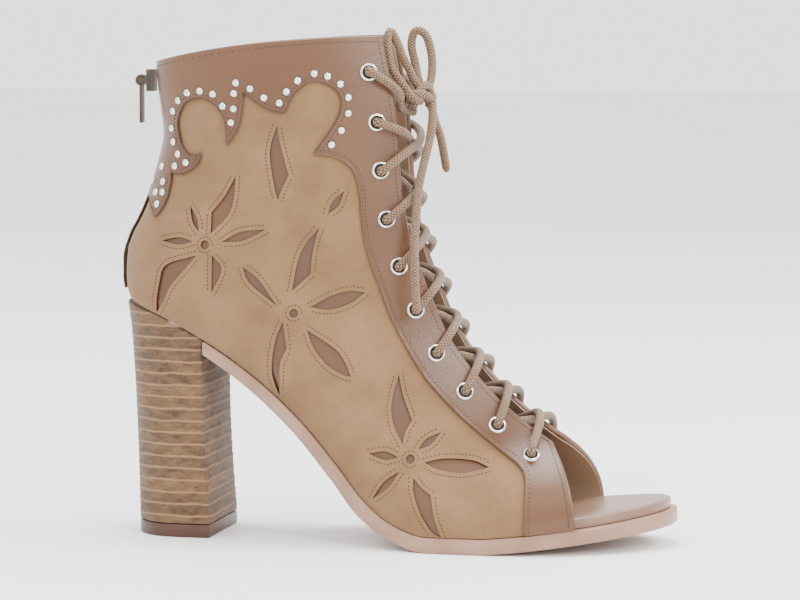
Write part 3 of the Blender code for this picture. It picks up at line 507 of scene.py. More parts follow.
girths = (
    (0.000, 0.000, 0.345, 0.345, 0.50, 2.0, 2.3, 0.50, 0.54, 0.028, 2),
    (0.130, 0.240, 0.334, 0.334, 0.50, 2.0, 2.3, 0.50, 0.52, 0.000, 2),
    (0.260, 0.470, 0.324, 0.330, 0.52, 2.0, 2.2, 0.50, 0.50, 0.000, 2),
    (0.380, 0.700, 0.334, 0.340, 0.58, 2.0, 2.1, 0.50, 0.50, 0.000, 2),
    (0.490, 0.880, 0.355, 0.360, 0.68, 2.0, 2.0, 0.50, 0.50, 0.000, 2),
    (0.570, 1.000, 0.372, 0.372, 0.76, 2.0, 2.0, 0.50, 0.50, 0.000, 1),
    (0.578, 1.010, 0.373, 0.372, 0.765, 2.0, 2.0, 0.55, 0.50, 0.000, 1),
    (0.597, 1.036, 0.373, 0.371, 0.775, 2.0, 2.0, 0.62, 0.50, 0.000, 1),
    (0.620, 1.074, 0.372, 0.368, 0.79, 2.0, 2.0, 0.72, 0.50, 0.000, 1),
    (0.645, 1.120, 0.371, 0.362, 0.80, 2.0, 2.0, 0.85, 0.50, 0.000, 2),
    (0.710, 1.240, 0.376, 0.354, 0.81, 1.9, 2.0, 0.95, 0.50, 0.000, 2),
    (0.790, 1.400, 0.392, 0.346, 0.82, 1.85, 2.0, 1.00, 0.50, 0.000, 2),
    (0.860, 1.550, 0.432, 0.362, 0.84, 1.8, 2.0, 1.00, 0.50, 0.000, 3),
    (0.920, 1.700, 0.490, 0.420, 0.86, 1.75, 2.0, 1.00, 0.50, 0.000, 2),
    (0.965, 1.850, 0.514, 0.466, 0.86, 1.7, 2.0, 1.00, 0.50, -0.030, 3),
    (1.000, 2.000, 0.468, 0.424, 0.86, 1.7, 2.0, 1.00, 0.52, -0.110, 1),
)


def slopes(knots):
    rises = [(b[1] - a[1]) / (b[0] - a[0]) for a, b in zip(knots, knots[1:])]
    inner = [0.0 if p * q <= 0 else 2 * p * q / (p + q) for p, q in zip(rises, rises[1:])]
    return [rises[0], *inner, rises[-1]]


def ease(knots, x):
    x = min(max(x, knots[0][0]), knots[-1][0])
    tangents = slopes(knots)
    i = max(k for k in range(len(knots) - 1) if knots[k][0] <= x)
    (x0, y0), (x1, y1) = knots[i], knots[i + 1]
    span = x1 - x0
    s = (x - x0) / span
    return (
        y0 * (1 + 2 * s) * (1 - s) ** 2
        + tangents[i] * span * s * (1 - s) ** 2
        + y1 * s * s * (3 - 2 * s)
        + tangents[i + 1] * span * s * s * (s - 1)
    )


def along(share):
    return share * boot["length"] - boot["backOverhang"]


def shareOf(x):
    return (x + boot["backOverhang"]) / boot["length"]


def soleTop(x):
    share = shareOf(x)
    if share > boot["flatEnd"]:
        return boot["soleThickness"] + boot["toeSpring"] * ((share - boot["flatEnd"]) / (1.0 - boot["flatEnd"])) ** 1.2
    return boot["soleThickness"] + ease(soleLine, share) * (boot["seatHeight"] - boot["soleThickness"])


def seatHalf(x, margin):
    back = along(backLine[0][1]) + margin
    middle = back + 0.66 * boot["heelLength"]
    full = solePlan[0][1] * boot["ballWidth"] - margin
    reach = min(max((middle - x) / (middle - back), 0.0), 1.0)
    return full * math.sqrt(1.0 - reach**2.2)


def soleEdge(x, side, margin=0.0):
    share = shareOf(x)
    column = 1 if side == outer else 2
    if share <= solePlan[0][0]:
        return side * seatHalf(x, margin)
    widest = solePlan[-1][0]
    if share <= widest:
        knots = [(row[0], row[column]) for row in solePlan]
        return side * (ease(knots, share) * boot["ballWidth"] - margin)
    tip = 1.0 - margin / boot["length"]
    reach = min((share - widest) / (tip - widest), 1.0)
    half = solePlan[-1][column] * boot["ballWidth"] - margin
    return side * half * math.sqrt(1.0 - reach**2.2) + boot["toeSwing"] * reach**2


def through(points, share):
    lengths = [0.0]
    for a, b in zip(points, points[1:]):
        lengths.append(lengths[-1] + (b - a).length)
    target = share * lengths[-1]
    for i in range(1, len(points)):
        if lengths[i] >= target - 1e-12:
            part = (target - lengths[i - 1]) / (lengths[i] - lengths[i - 1])
            return points[i - 1].lerp(points[i], part)
    return points[-1].copy()


def backPoint(z):
    rise = (z - boot["seatHeight"]) / boot["shaftHeight"]
    return Vector((along(ease(backLine, rise)), 0.0, z))


def linePoints():
    steps = 96
    front = boot["seatHeight"] + boot["shaftHeight"] + boot["collarRise"]
    knotsX = [(i, row[0]) for i, row in enumerate(throatLine)]
    knotsZ = [(i, row[1]) for i, row in enumerate(throatLine)]
    last = len(throatLine) - 1
    throat = [
        Vector((along(ease(knotsX, last * i / steps)), 0.0, front * ease(knotsZ, last * i / steps)))
        for i in range(steps + 1)
    ]
    seat = soleTop(along(backLine[0][1])) + boot["gap"]
    collar = boot["seatHeight"] + boot["shaftHeight"]
    back = [backPoint(collar + (seat - collar) * i / steps) for i in range(steps + 1)]
    heel = back[-1].x
    toe = along(boot["toeEdge"])
    xs = [heel + (toe - heel) * i / steps for i in range(steps + 1)]
    edge = [Vector((x, 0.0, soleTop(x) + boot["gap"])) for x in xs]
    return throat, back, edge


throatPath, backPath, edgePath = linePoints()
def girth(u):
    values = {}
    for column, name in enumerate(girthColumns[:-1]):
        values[name] = ease([(i, row[column]) for i, row in enumerate(girths)], u)
    return values


def girthEnds(g):
    top = through(throatPath, g["throat"])
    if g["end"] <= 1.0:
        return top, through(backPath, g["end"]), False
    return top, through(edgePath, g["end"] - 1.0), True


def surfacePoint(side, u, t):
    g = girth(u)
    top, end, onSole = girthEnds(g)
    chord = end - top
    bow = Vector((chord.z, 0.0, -chord.x)) * g["bulge"] * 4 * t * (1 - t)
    place = top.lerp(end, t) + bow
    start = g["gap"] * boot["throatGap"]
    full = g["outer" if side == outer else "inner"] * boot["ballWidth"]
    finish = abs(soleEdge(end.x, side, boot["soleMargin"])) if onSole else 0.0
    if t <= g["widest"]:
        half = start + (full - start) * (1 - (1 - t / g["widest"]) ** g["crown"])
    else:
        s = (t - g["widest"]) / (1 - g["widest"])
        half = finish + (full - finish) * max(1 - s ** g["tail"], 0.0) ** g["close"]
    place.y = side * half
    return place


def breastX():
    return along(backLine[0][1]) + boot["heelLength"]


def soleDepth(x):
    share = shareOf(x)
    start = (solePlan[0][0], boot["archThickness"])
    return ease((start, (boot["flatStart"], boot["soleThickness"]), (1.0, boot["soleThickness"])), share)


def soleTilt(x):
    step = 1.0 * mm
    return math.atan2(soleTop(x + step) - soleTop(x - step), 2 * step)


def heelRing(length, width, back, count=10):
    middle = back + 0.62 * length
    ring = []
    for i in range(count):
        turn = math.radians(90) * i / (count - 1)
        ring.append((middle - 0.62 * length * math.cos(turn), 0.5 * width * math.sin(turn) ** 0.9))
    ring.append((back + length, 0.5 * width))
    return ring


def throatSpot(share, backOff):
    here = through(throatPath, share)
    tangent = through(throatPath, min(share + 0.01, 1.0)) - through(throatPath, max(share - 0.01, 0.0))
    tangent.normalize()
    return here - Vector((-tangent.z, 0.0, tangent.x)) * backOff


def eyeletShare(i):
    return 0.07 + 0.915 * (i / (boot["eyelets"] - 1)) ** 0.95


def smoothRoute(points, spans):
    ends = [2 * points[0] - points[1], *points, 2 * points[-1] - points[-2]]
    route = []
    for a, b, c, d, count in zip(ends, ends[1:], ends[2:], ends[3:], spans):
        for k in range(count):
            s = k / count
            bend = (2 * a - 5 * b + 4 * c - d) * s * s + (3 * b - a - 3 * c + d) * s**3
            route.append(0.5 * (2 * b + (c - a) * s + bend))
    return [*route, points[-1].copy()]


def edgeFrame(side, share):
    low, high = 0.0, float(len(girths) - 1)
    for step in range(30):
        u = 0.5 * (low + high)
        low, high = (u, high) if girth(u)["throat"] < share else (low, u)
    step = 0.02
    place = surfacePoint(side, u, 0.0)
    down = surfacePoint(side, u, step) - place
    ahead = surfacePoint(side, min(u + step, len(girths) - 1.0), 0.0)
    ahead -= surfacePoint(side, u - step, 0.0)
    normal = (down.cross(ahead) * -side).normalized()
    return place, normal, -down.normalized()


# The upper: one grid for each side, laid on the girths and joined up the back
upper = {"rows": 128, "across": 60, "widestRow": 0.6, "smoothing": 3, "seatSmoothing": 14}
layer = {"suede": 0.9, "lining": 0.85, "overlay": 0.85, "overlayTop": 1.15, "inlay": 0.95}


def rowPoint(side, g, ends, t):
    top, end, onSole = ends
    chord = end - top
    bow = Vector((chord.z, 0.0, -chord.x)) * g["bulge"] * 4 * t * (1 - t)
    place = top.lerp(end, t) + bow
    start = g["gap"] * boot["throatGap"]
    full = g["outer" if side == outer else "inner"] * boot["ballWidth"]
    finish = abs(soleEdge(end.x, side, boot["soleMargin"])) if onSole else 0.0
    if t <= g["widest"]:
        half = start + (full - start) * (1 - (1 - t / g["widest"]) ** g["crown"])
    else:
        s = (t - g["widest"]) / (1 - g["widest"])
        half = finish + (full - finish) * max(1 - s ** g["tail"], 0.0) ** g["close"]
    place.y = side * half
    return place


def evenRows():  # girths at an even pitch down the throat and along the edge
    last, knots, run = len(girths) - 1, [], 0.0
    before = None
    for i in range(20 * last + 1):
        g = girth(i / 20)
        here = g["throat"] + g["end"]
        run += 0.0 if before is None else here - before
        before = here
        knots.append((run, i / 20))
    rows = []
    for k in range(upper["rows"] + 1):
        goal = run * k / upper["rows"]
        low = max(i for i, knot in enumerate(knots) if knot[0] <= goal + 1e-9)
        high = min(low + 1, len(knots) - 1)
        span = knots[high][0] - knots[low][0]
        share = (goal - knots[low][0]) / span if span else 0.0
        rows.append(knots[low][1] + share * (knots[high][1] - knots[low][1]))
    return rows


def makeShell():
    mesh = bmesh.new()
    rows = evenRows()
    for side in (outer, inner):
        made = bmesh.ops.create_grid(mesh, x_segments=upper["rows"], y_segments=upper["across"], size=0.5)["verts"]
        known = {}
        for vert in made:
            k = round((vert.co.x + 0.5) * upper["rows"])
            if k not in known:
                g = girth(rows[k])
                known[k] = (g, girthEnds(g))
            g, ends = known[k]
            v = vert.co.y + 0.5
            if v <= upper["widestRow"]:
                t = g["widest"] * v / upper["widestRow"]
            else:
                turn = math.radians(90) * (v - upper["widestRow"]) / (1 - upper["widestRow"])
                t = g["widest"] + (1 - g["widest"]) * math.sin(turn)
            vert.co = rowPoint(side, g, ends, t)
    bmesh.ops.remove_doubles(mesh, verts=mesh.verts, dist=0.05 * mm)
    inside = [v for v in mesh.verts if not v.is_boundary]
    seat = [v for v in inside if 80 * mm < v.co.z < 118 * mm and v.co.x < 78 * mm]
    for verts, times in ((inside, upper["smoothing"]), (seat, upper["seatSmoothing"])):
        for k in range(times):
            bmesh.ops.smooth_vert(mesh, verts=verts, factor=0.5, use_axis_x=True, use_axis_y=True, use_axis_z=True)
    bmesh.ops.recalc_face_normals(mesh, faces=mesh.faces)
    mesh.faces.ensure_lookup_table()
    face = max(mesh.faces, key=lambda f: abs(f.calc_center_median().y))
    if face.normal.y * face.calc_center_median().y < 0:
        bmesh.ops.reverse_faces(mesh, faces=mesh.faces)
    mesh.normal_update()
    return mesh


def makeLayer(name, shell, lift, thickness, looks):
    mesh = shell.copy()
    for vert, source in zip(mesh.verts, shell.verts):
        vert.co = source.co + source.normal * (lift * mm)
    piece = newPiece(name, mesh, looks)
    wall = piece.modifiers.new("wall", "SOLIDIFY")
    wall.thickness = thickness * mm
    wall.offset = -1.0
    wall.material_offset_rim = 1 if len(looks) > 1 else 0
    return settle(piece)


def raiseAlong(piece, shell, lift):  # moves a cut layer outward along the shell's own normals
    finder = KDTree(len(shell.verts))
    normals = [v.normal.copy() for v in shell.verts]
    for k, v in enumerate(shell.verts):
        finder.insert(v.co, k)
    finder.balance()
    for vert in piece.data.vertices:
        outward = Vector()
        for place, k, far in finder.find_n(vert.co, 4):
            outward += normals[k] / (far + 0.05 * mm)
        vert.co += outward.normalized() * lift


def onUpper(tree, side, x, z, lift=0.0):  # the outer face beside a point in the side plane
    start = Vector((x, side * boot["ballWidth"], z))
    place, normal, index, far = tree.ray_cast(start, Vector((0.0, -side, 0.0)))
    return (place + normal * lift, normal) if place else (None, None)


def prism(name, outlines, looks=()):  # closed outlines in the side plane, as one cutter right through
    mesh = bmesh.new()
    for outline in outlines:
        face = mesh.faces.new([mesh.verts.new((p.x, -boot["ballWidth"], p.z)) for p in outline])
        made = bmesh.ops.extrude_face_region(mesh, geom=[face])["geom"]
        moved = [v for v in made if isinstance(v, bmesh.types.BMVert)]
        bmesh.ops.translate(mesh, verts=moved, vec=(0.0, 2 * boot["ballWidth"], 0.0))
    bmesh.ops.recalc_face_normals(mesh, faces=mesh.faces)
    return newPiece(name, mesh, looks)


def flat(points):
    return [Vector((x * mm, 0.0, z * mm)) for x, z in points]


# Petals in the suede: runs between corners, in millimetres in the side plane
lenses = (  # root, tip, width
    ((14.7, 126.3), (10.3, 136.7), 2.5),
    ((24.7, 122.4), (43.1, 127.7), 3.7),
    ((12.3, 122.4), (-1.9, 122.3), 3.0),
    ((67.7, 134.0), (74.0, 143.3), 2.9),
    ((106.9, 40.4), (115.3, 47.1), 2.9),
    ((100.0, 31.8), (89.0, 20.4), 2.9),
    ((99.3, 37.3), (87.2, 38.7), 3.3),
)
petals = (
    (((19.9, 125.7), (20.0, 134.3)), ((20.0, 134.3), (25.2, 140.4), (30.2, 149.0)),
     ((30.2, 149.0), (29.4, 139.1), (26.7, 132.5), (19.9, 125.7))),
    (((20.7, 117.0), (20.8, 101.9)), ((20.8, 101.9), (24.9, 111.3), (20.7, 117.0))),
    (((13.8, 116.7), (0.6, 112.5), (-2.2, 105.0), (-3.7, 92.8)),
     ((-3.7, 92.8), (0.0, 97.7), (3.3, 104.3), (10.0, 111.9)), ((10.0, 111.9), (13.8, 116.7))),
    (((47.6, 96.9), (39.8, 107.7), (33.6, 112.3)), ((33.6, 112.3), (36.5, 105.8), (47.6, 96.9))),
    (((53.6, 102.9), (55.6, 114.3), (58.7, 121.7), (64.3, 128.5)),
     ((64.3, 128.5), (62.3, 122.2), (61.3, 115.2), (60.9, 109.7)), ((60.9, 109.7), (53.6, 102.9))),
    (((61.1, 96.5), (68.9, 100.8), (76.5, 102.9), (82.4, 102.2)),
     ((82.4, 102.2), (76.3, 97.6), (68.2, 95.4), (61.1, 96.5))),
    (((60.1, 87.3), (71.8, 79.7), (76.1, 74.2), (78.5, 68.8)),
     ((78.5, 68.8), (75.5, 69.5), (68.9, 73.3), (63.1, 80.1), (60.1, 87.3))),
    (((50.3, 90.5), (47.4, 82.9), (46.1, 71.5), (46.9, 65.3), (48.5, 60.0)),
     ((48.5, 60.0), (49.4, 67.0), (49.7, 73.9), (52.2, 79.6)), ((52.2, 79.6), (50.3, 90.5))),
    (((47.6, 169.4), (44.9, 161.3), (44.8, 154.3), (46.6, 143.7), (47.9, 139.6)),
     ((47.9, 139.6), (48.9, 142.8), (52.2, 149.7)), ((52.2, 149.7), (50.9, 154.4), (49.1, 161.3), (47.6, 169.4))),
    (((100.6, 42.6), (96.7, 49.5), (95.2, 58.0), (97.2, 69.7)),
     ((97.2, 69.7), (99.4, 61.6), (103.7, 51.7)), ((103.7, 51.7), (101.4, 47.3), (100.6, 42.6))),
    (((109.8, 35.4), (117.1, 37.0), (128.4, 36.4), (135.5, 33.8)),
     ((135.5, 33.8), (131.2, 32.6), (124.5, 31.6), (115.3, 32.9), (109.8, 35.4))),
    (((105.8, 29.4), (106.4, 23.5), (109.6, 15.6), (114.5, 8.5), (118.4, 6.6)),
     ((118.4, 6.6), (117.9, 7.7), (115.3, 14.4), (113.4, 23.0)), ((113.4, 23.0), (110.0, 25.3), (105.8, 29.4))),
)
hearts = {"places": ((17.6, 121.1), (54.6, 93.9), (104.1, 36.7)), "radius": 1.8, "ring": 3.2}


def allPetals():
    loops = []
    for root, tip, width in lenses:
        a, b = flat((root, tip))
        way = (b - a).normalized()
        aside = Vector((-way.z, 0.0, way.x)) * (0.5 * width * mm)
        middle = a.lerp(b, 0.45)
        loops.append([curveThrough([a, middle + aside, b], 1.2 * mm), curveThrough([b, middle - aside, a], 1.2 * mm)])
    for runs in petals:
        loops.append([curveThrough(flat(run), 1.2 * mm) for run in runs])
    return loops


def circle(x, z, radius, count):
    turns = [math.radians(360) * k / count for k in range(count)]
    return [Vector(((x + radius * math.cos(a)) * mm, 0.0, (z + radius * math.sin(a)) * mm)) for a in turns]


# The leather overlay's edge against the suede, from the sole up the eyestay and back along the collar
scallops = (
    ((152.2, 10.0), (152.2, 19.3), (150.9, 29.4), (147.2, 34.3), (139.5, 39.5), (131.7, 45.2), (122.3, 52.8),
     (113.8, 61.2), (105.2, 71.3), (94.4, 89.3), (88.1, 105.0), (82.9, 119.8), (80.6, 133.9), (80.4, 140.0),
     (78.4, 149.7), (75.4, 154.3), (70.5, 157.2), (62.5, 158.6)),
    ((62.5, 158.6), (67.1, 165.0), (70.7, 170.6), (72.9, 176.1), (72.9, 180.7), (70.7, 184.4), (67.2, 186.5),
     (63.2, 187.5), (59.2, 186.3), (55.0, 182.6), (52.7, 178.9), (51.0, 175.0)),
    ((51.0, 175.0), (46.5, 175.7), (42.2, 177.5), (37.4, 180.7), (33.9, 183.4)),
    ((33.9, 183.4), (33.8, 179.7), (33.0, 173.7), (31.4, 168.1), (26.9, 161.5)),
    ((26.9, 161.5), (26.7, 167.1), (25.7, 172.7), (23.6, 175.9), (21.1, 178.6), (17.0, 180.4), (12.7, 180.3),
     (8.8, 178.9), (6.0, 175.5), (4.3, 170.8), (4.6, 166.1), (6.0, 161.5), (9.0, 157.8), (11.7, 156.8), (15.3, 157.8)),
    ((15.3, 157.8), (14.5, 154.8), (11.3, 151.4), (5.8, 149.4), (1.0, 149.8)),
    ((1.0, 149.8), (1.3, 146.4), (0.8, 144.3), (-0.5, 138.7), (-3.6, 133.5), (-5.8, 131.3)),
    ((-5.8, 131.3), (-8.0, 135.0), (-10.6, 139.0)),
)
studs = {"radius": 1.6, "height": 1.1, "places": (
    (-8.8, 145.5), (-2.6, 145.7), (-6.3, 141.1), (-2.5, 141.4), (-5.0, 136.4), (-3.8, 151.7), (3.2, 152.3),
    (8.5, 154.0), (4.6, 157.3), (2.1, 162.2), (1.2, 167.9), (2.2, 174.9), (5.1, 179.4), (9.5, 182.6), (15.4, 183.4),
    (21.1, 182.2), (25.3, 177.4), (30.0, 176.4), (28.8, 170.8), (30.2, 182.6), (31.1, 186.9), (37.0, 184.5),
    (42.7, 180.9), (48.9, 178.8), (51.8, 183.3), (56.2, 187.8), (62.6, 190.6), (67.7, 189.5), (72.5, 186.3),
    (75.6, 181.0), (75.6, 174.6), (73.0, 167.8), (69.2, 162.0))}


def scallopEdge(pitch):
    line = []
    for run in scallops:
        line += curveThrough(flat(run), pitch)[:-1]
    return [*line, flat(scallops[-1])[-1]]


def shifted(line, distance):  # a line in the side plane, moved to its left
    moved = []
    for k, here in enumerate(line):
        way = (line[min(k + 1, len(line) - 1)] - line[max(k - 1, 0)]).normalized()
        moved.append(here + Vector((-way.z, 0.0, way.x)) * distance)
    return moved


def clear(line, others, distance):
    return [p for p in line if min((p - q).length for q in others) > distance]


def makeUpper():
    shell = makeShell()
    tree = BVHTree.FromBMesh(shell)
    look = leatherLook("collarLeather", leather["collar"])
    inlay = leatherLook("inlayLeather", leather["inlay"], 0.42)
    lining = leatherLook("lining", leather["lining"], 0.55, 0.6)
    rawEdge = plainLook("rawEdge", *leather["edge"][:2], 0.9)
    shown = suedeLook()
    print("upper: suede")
    quarters = makeLayer("suedeQuarters", shell, 0.0, layer["suede"], (shown, rawEdge))
    loops = allPetals()
    outlines = [[p for run in loop for p in run[:-1]] for loop in loops]
    outlines += [circle(x, z, hearts["radius"], 14) for x, z in hearts["places"]]
    cutter = prism("petalCutter", outlines, (rawEdge,))
    cut(quarters, cutter)
    settle(quarters, 35)
    drop(cutter)
    print("upper: lining and inlays")
    under = makeLayer("liningShell", shell, -layer["inlay"], layer["lining"], (inlay, lining))
    for face in under.data.polygons:  # the side to the foot is lining
        place = face.center
        outward = tree.find_nearest(place)[1]
        face.material_index = 0 if face.normal.dot(outward) > 0.3 else 1
    shadeSmooth(under.data, 35)
    print("upper: leather overlay")
    edge = scallopEdge(1.5 * mm)
    far = 300 * mm
    window = [*edge, Vector((-far, 0, edge[-1].z)), Vector((-far, 0, -20 * mm)), Vector((edge[0].x, 0, -20 * mm))]
    overlays = makeLayer("leatherOverlay", shell, 0.0, layer["overlay"], (look, rawEdge))
    cutter = prism("overlayWindow", [window], (rawEdge,))
    cut(overlays, cutter)
    settle(overlays)
    raiseAlong(overlays, shell, layer["overlayTop"] * mm)
    shadeSmooth(overlays.data, 35)
    drop(cutter)
    for piece in (quarters, under, overlays):
        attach(piece, "boot")
    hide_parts("upper")
    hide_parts("overlay_outer", "overlay_inner")
    return shell, tree, look, loops, edge


# Rolled edges, stitches and studs
trim = {"bead": 0.55, "line": 0.34, "beadLift": 1.05, "rim": (1.25, 0.62), "rimLift": -0.05, "stitch": (0.52, 0.24, 0.22),
        "pitch": 1.6, "petalPitch": 1.5, "petalOff": 1.7, "edgeOff": 1.5, "rimOff": 1.7}


def rimPath(shell, side):  # collar, throat and toe edges of one side, as points and normals
    loops = [e for e in shell.edges if e.is_boundary and all(v.co.y * side > -1e-6 for v in e.verts)]
    links = {}
    for e in loops:
        for v in e.verts:
            links.setdefault(v, []).append(e)
    top = max((v for v in links if abs(v.co.y) < 0.1 * mm), key=lambda v: v.co.z)
    path, here, seen = [top], top, set()
    while True:
        step = next((e for e in links[here] if e not in seen), None)
        if step is None:
            break
        seen.add(step)
        here = step.other_vert(here)
        path.append(here)
        if here.co.x > 160 * mm and here.co.z < 12.5 * mm:
            break
    return [v.co.copy() for v in path], [v.normal.copy() for v in path]


def makeTrim(shell, tree, look, loops, edge):
    mesh, dark, rims = bmesh.new(), bmesh.new(), {}
    for side in (outer, inner):
        for k, run in enumerate(scallops):
            found = [onUpper(tree, side, p.x, p.z, trim["beadLift"] * mm) for p in curveThrough(flat(run), 1.5 * mm)]
            found = [f for f in found if f[0]]
            size = trim["bead" if k == 0 else "line"] * mm
            sweep(mesh if k == 0 else dark, [f[0] for f in found], [f[1] for f in found], (size, size), 8)
        path, ups = rimPath(shell, side)
        places = [p + n * trim["rimLift"] * mm for p, n in zip(path, ups)]
        high, wide = (s * mm for s in trim["rim"])
        sweep(mesh, places, ups, (high, wide), 10)
        rims[side] = (path, ups)
    piece = newPiece("rolledEdges", mesh, (look,))
    scallopLine = newPiece("scallopLine", dark, (plainLook("cutEdge", (0.040, 0.018, 0.009), (0.075, 0.036, 0.018), 0.8),))
    for made in (piece, scallopLine):
        shadeSmooth(made.data, 60)
        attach(made, "boot")
    return rims


def stitchLine(tree, side, line, lift):
    made = []
    for a, b in zip(line, line[1:]):
        place, normal = onUpper(tree, side, a.x, a.z, lift)
        ahead, unused = onUpper(tree, side, b.x, b.z, lift)
        if place and ahead and (ahead - place).length < 5 * mm:
            made.append(standing(place, normal, ahead - place))
    return made


def makeStitches(tree, loops, edge, rims):
    marks = []
    solid = [p for loop in loops for run in loop for p in run]
    top = layer["overlayTop"] * mm
    for side in (outer, inner):
        for loop in loops:
            centre = sum((p for run in loop for p in run), Vector()) / sum(len(run) for run in loop)
            for run in loop:
                way = run[-1] - run[0]
                middle = run[len(run) // 2] - centre
                turn = 1 if Vector((-way.z, 0.0, way.x)).dot(middle) > 0 else -1
                line = evenly(shifted(run, turn * trim["petalOff"] * mm), trim["petalPitch"] * mm)
                line = clear(line, solid, 1.2 * mm)
                marks += stitchLine(tree, side, line, 0.02 * mm)
        for x, z in hearts["places"]:
            marks += stitchLine(tree, side, circle(x, z, hearts["ring"], 14), 0.02 * mm)
        inside = evenly(shifted(edge, -trim["edgeOff"] * mm), trim["pitch"] * mm)
        marks += stitchLine(tree, side, clear(inside, edge, 1.2 * mm), top)
        path, ups = rims[side]
        for a, b, n in zip(path, path[1:], ups):
            way = (b - a).normalized()
            aside = way.cross(n)
            step = aside * (trim["rimOff"] * mm)
            spot, normal, index, far = tree.find_nearest(a + step)
            back, other, index, far2 = tree.find_nearest(a - step)
            if far2 < far:
                spot, normal = back, other
            marks.append(standing(spot + normal * top, normal, way))
    dot = bmesh.new()
    bmesh.ops.create_uvsphere(dot, u_segments=6, v_segments=4, radius=1.0)
    bmesh.ops.scale(dot, verts=dot.verts, vec=[s * mm for s in trim["stitch"]])
    piece = scatter("stitches", dot, marks, (plainLook("thread", (0.035, 0.016, 0.008), (0.070, 0.034, 0.017), 0.8),))
    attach(piece, "boot")


def makeStuds(tree, silver):
    marks = []
    for side in (outer, inner):
        for x, z in studs["places"]:
            place, normal = onUpper(tree, side, x * mm, z * mm, layer["overlayTop"] * mm)
            if place:
                marks.append(standing(place, normal))
    dome = bmesh.new()
    bmesh.ops.create_uvsphere(dome, u_segments=14, v_segments=8, radius=studs["radius"] * mm)
    cutOff = bmesh.ops.bisect_plane(dome, geom=[*dome.verts, *dome.edges, *dome.faces], plane_co=(0, 0, 0),
                                    plane_no=(0, 0, 1), clear_inner=True)
    bmesh.ops.scale(dome, verts=dome.verts, vec=(1.0, 1.0, studs["height"] / studs["radius"]))
    rim = [e for e in cutOff["geom_cut"] if isinstance(e, bmesh.types.BMEdge)]
    down = bmesh.ops.extrude_edge_only(dome, edges=rim)["geom"]
    bmesh.ops.translate(dome, verts=[v for v in down if isinstance(v, bmesh.types.BMVert)], vec=(0, 0, -0.3 * mm))
    bmesh.ops.holes_fill(dome, edges=[e for e in dome.edges if e.is_boundary], sides=0)
    bmesh.ops.recalc_face_normals(dome, faces=dome.faces)
    # painted shade: a thin dark ring under each stud, darkening the leather just round the foot of the dome
    ring = bmesh.new()
    bmesh.ops.create_cone(ring, cap_ends=True, segments=14, radius1=1.25 * studs["radius"] * mm,
                          radius2=1.05 * studs["radius"] * mm, depth=0.16 * mm)
    seat = scatter("studShadeRings", ring, marks, (plainLook("studPaintedShade", (0.030, 0.014, 0.007), (0.055, 0.028, 0.014), 0.7),))
    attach(seat, "boot")
    piece = scatter("studs", dome, marks, (silver,))
    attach(piece, "boot")


# Eyelets: a rolled ring with its barrel, spun from one profile (radius, height)
eyelet = {"turns": 28, "profile": ((2.25, -2.0), (2.4, 0.9), (2.55, 1.55), (2.9, 1.85), (3.3, 1.75), (3.6, 1.35),
                                   (3.62, 1.1), (2.6, 1.0))}


def eyeletSeats(tree):
    seats = {}
    for side in (outer, inner):
        spotsHere = [throatSpot(eyeletShare(i), boot["eyeletSetback"]) for i in range(boot["eyelets"])]
        seats[side] = [onUpper(tree, side, s.x, s.z) for s in spotsHere]
    return seats


def makeEyelets(seats, silver):
    ring = bmesh.new()
    verts = [ring.verts.new((r * mm, 0.0, h * mm)) for r, h in eyelet["profile"]]
    edges = [ring.edges.new(pair) for pair in zip(verts, verts[1:])]
    bmesh.ops.spin(ring, geom=[*verts, *edges], cent=(0, 0, 0), axis=(0, 0, 1), angle=math.radians(360),
                   steps=eyelet["turns"], use_merge=True)
    bmesh.ops.remove_doubles(ring, verts=ring.verts, dist=1e-6)
    bmesh.ops.recalc_face_normals(ring, faces=ring.faces)
    marks = [standing(*seat) for side in (outer, inner) for seat in seats[side]]
    piece = scatter("eyelets", ring, marks, (silver,))
    wall = piece.modifiers.new("wall", "SOLIDIFY")
    wall.thickness = 0.25 * mm
    wall.offset = 0.0
    settle(piece, 50)
    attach(piece, "boot")
    names = ["eyelet_%s_%02d" % (s, i) for s in ("outer", "inner") for i in range(1, boot["eyelets"] + 1)]
    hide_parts(*names)
    dark = bmesh.new()  # near-black discs in the throat of each eyelet, behind the lace: painted shade standing in for the shadowed hole
    bmesh.ops.create_cone(dark, cap_ends=True, segments=20, radius1=2.4 * mm, radius2=2.4 * mm, depth=0.2 * mm)
    bmesh.ops.translate(dark, verts=dark.verts, vec=(0.0, 0.0, 1.22 * mm))
    floor = scatter("eyeletHoleShade", dark, marks, (plainLook("eyeletPaintedShade", (0.012, 0.008, 0.006), (0.03, 0.02, 0.014), 0.9),))
    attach(floor, "boot")


# Lace: one size, out of each hole, over its own edge and under the other
lace = {"width": 3.5, "clearance": 0.6, "reach": 1.8, "bend": 1.2, "tuck": 0.8, "barTuck": 2.0, "saddle": 1.7,
        "edgeStart": 0.30, "edgeEnd": 0.76, "tieDrop": 0.45, "topCrossing": 2, "sides": 12, "pitch": 1.1}
tieMiddles = {outer: (94.4, -7.2, 176.4), inner: (94.6, 7.6, 177.0)}
tieTops = {outer: (98.6, -1.2, 174.6), inner: (98.0, -3.0, 176.2)}
knotPath = ((99.0, -6.0, 176.4), (101.0, -5.2, 182.0), (103.0, -1.6, 185.4), (104.2, 2.4, 184.0),
            (104.2, 4.8, 180.0), (104.0, 6.2, 177.3))
wrapPath = ((97.4, -3.6, 179.0), (99.6, -7.6, 181.6), (103.6, -6.2, 181.8), (105.6, -2.2, 179.6), (104.0, 2.0, 177.6))
outerLoop = ((102.6, -6.0, 179.2), (99.8, -9.4, 180.6), (97.2, -10.2, 184.0), (93.8, -9.8, 188.4), (90.9, -9.2, 192.8), (89.4, -8.8, 198.8),
             (88.9, -8.0, 204.0), (89.8, -6.2, 207.4), (92.2, -4.8, 203.0), (94.4, -4.2, 197.2), (97.0, -3.6, 191.8),
             (99.2, -3.0, 187.0), (101.4, -1.8, 183.6))
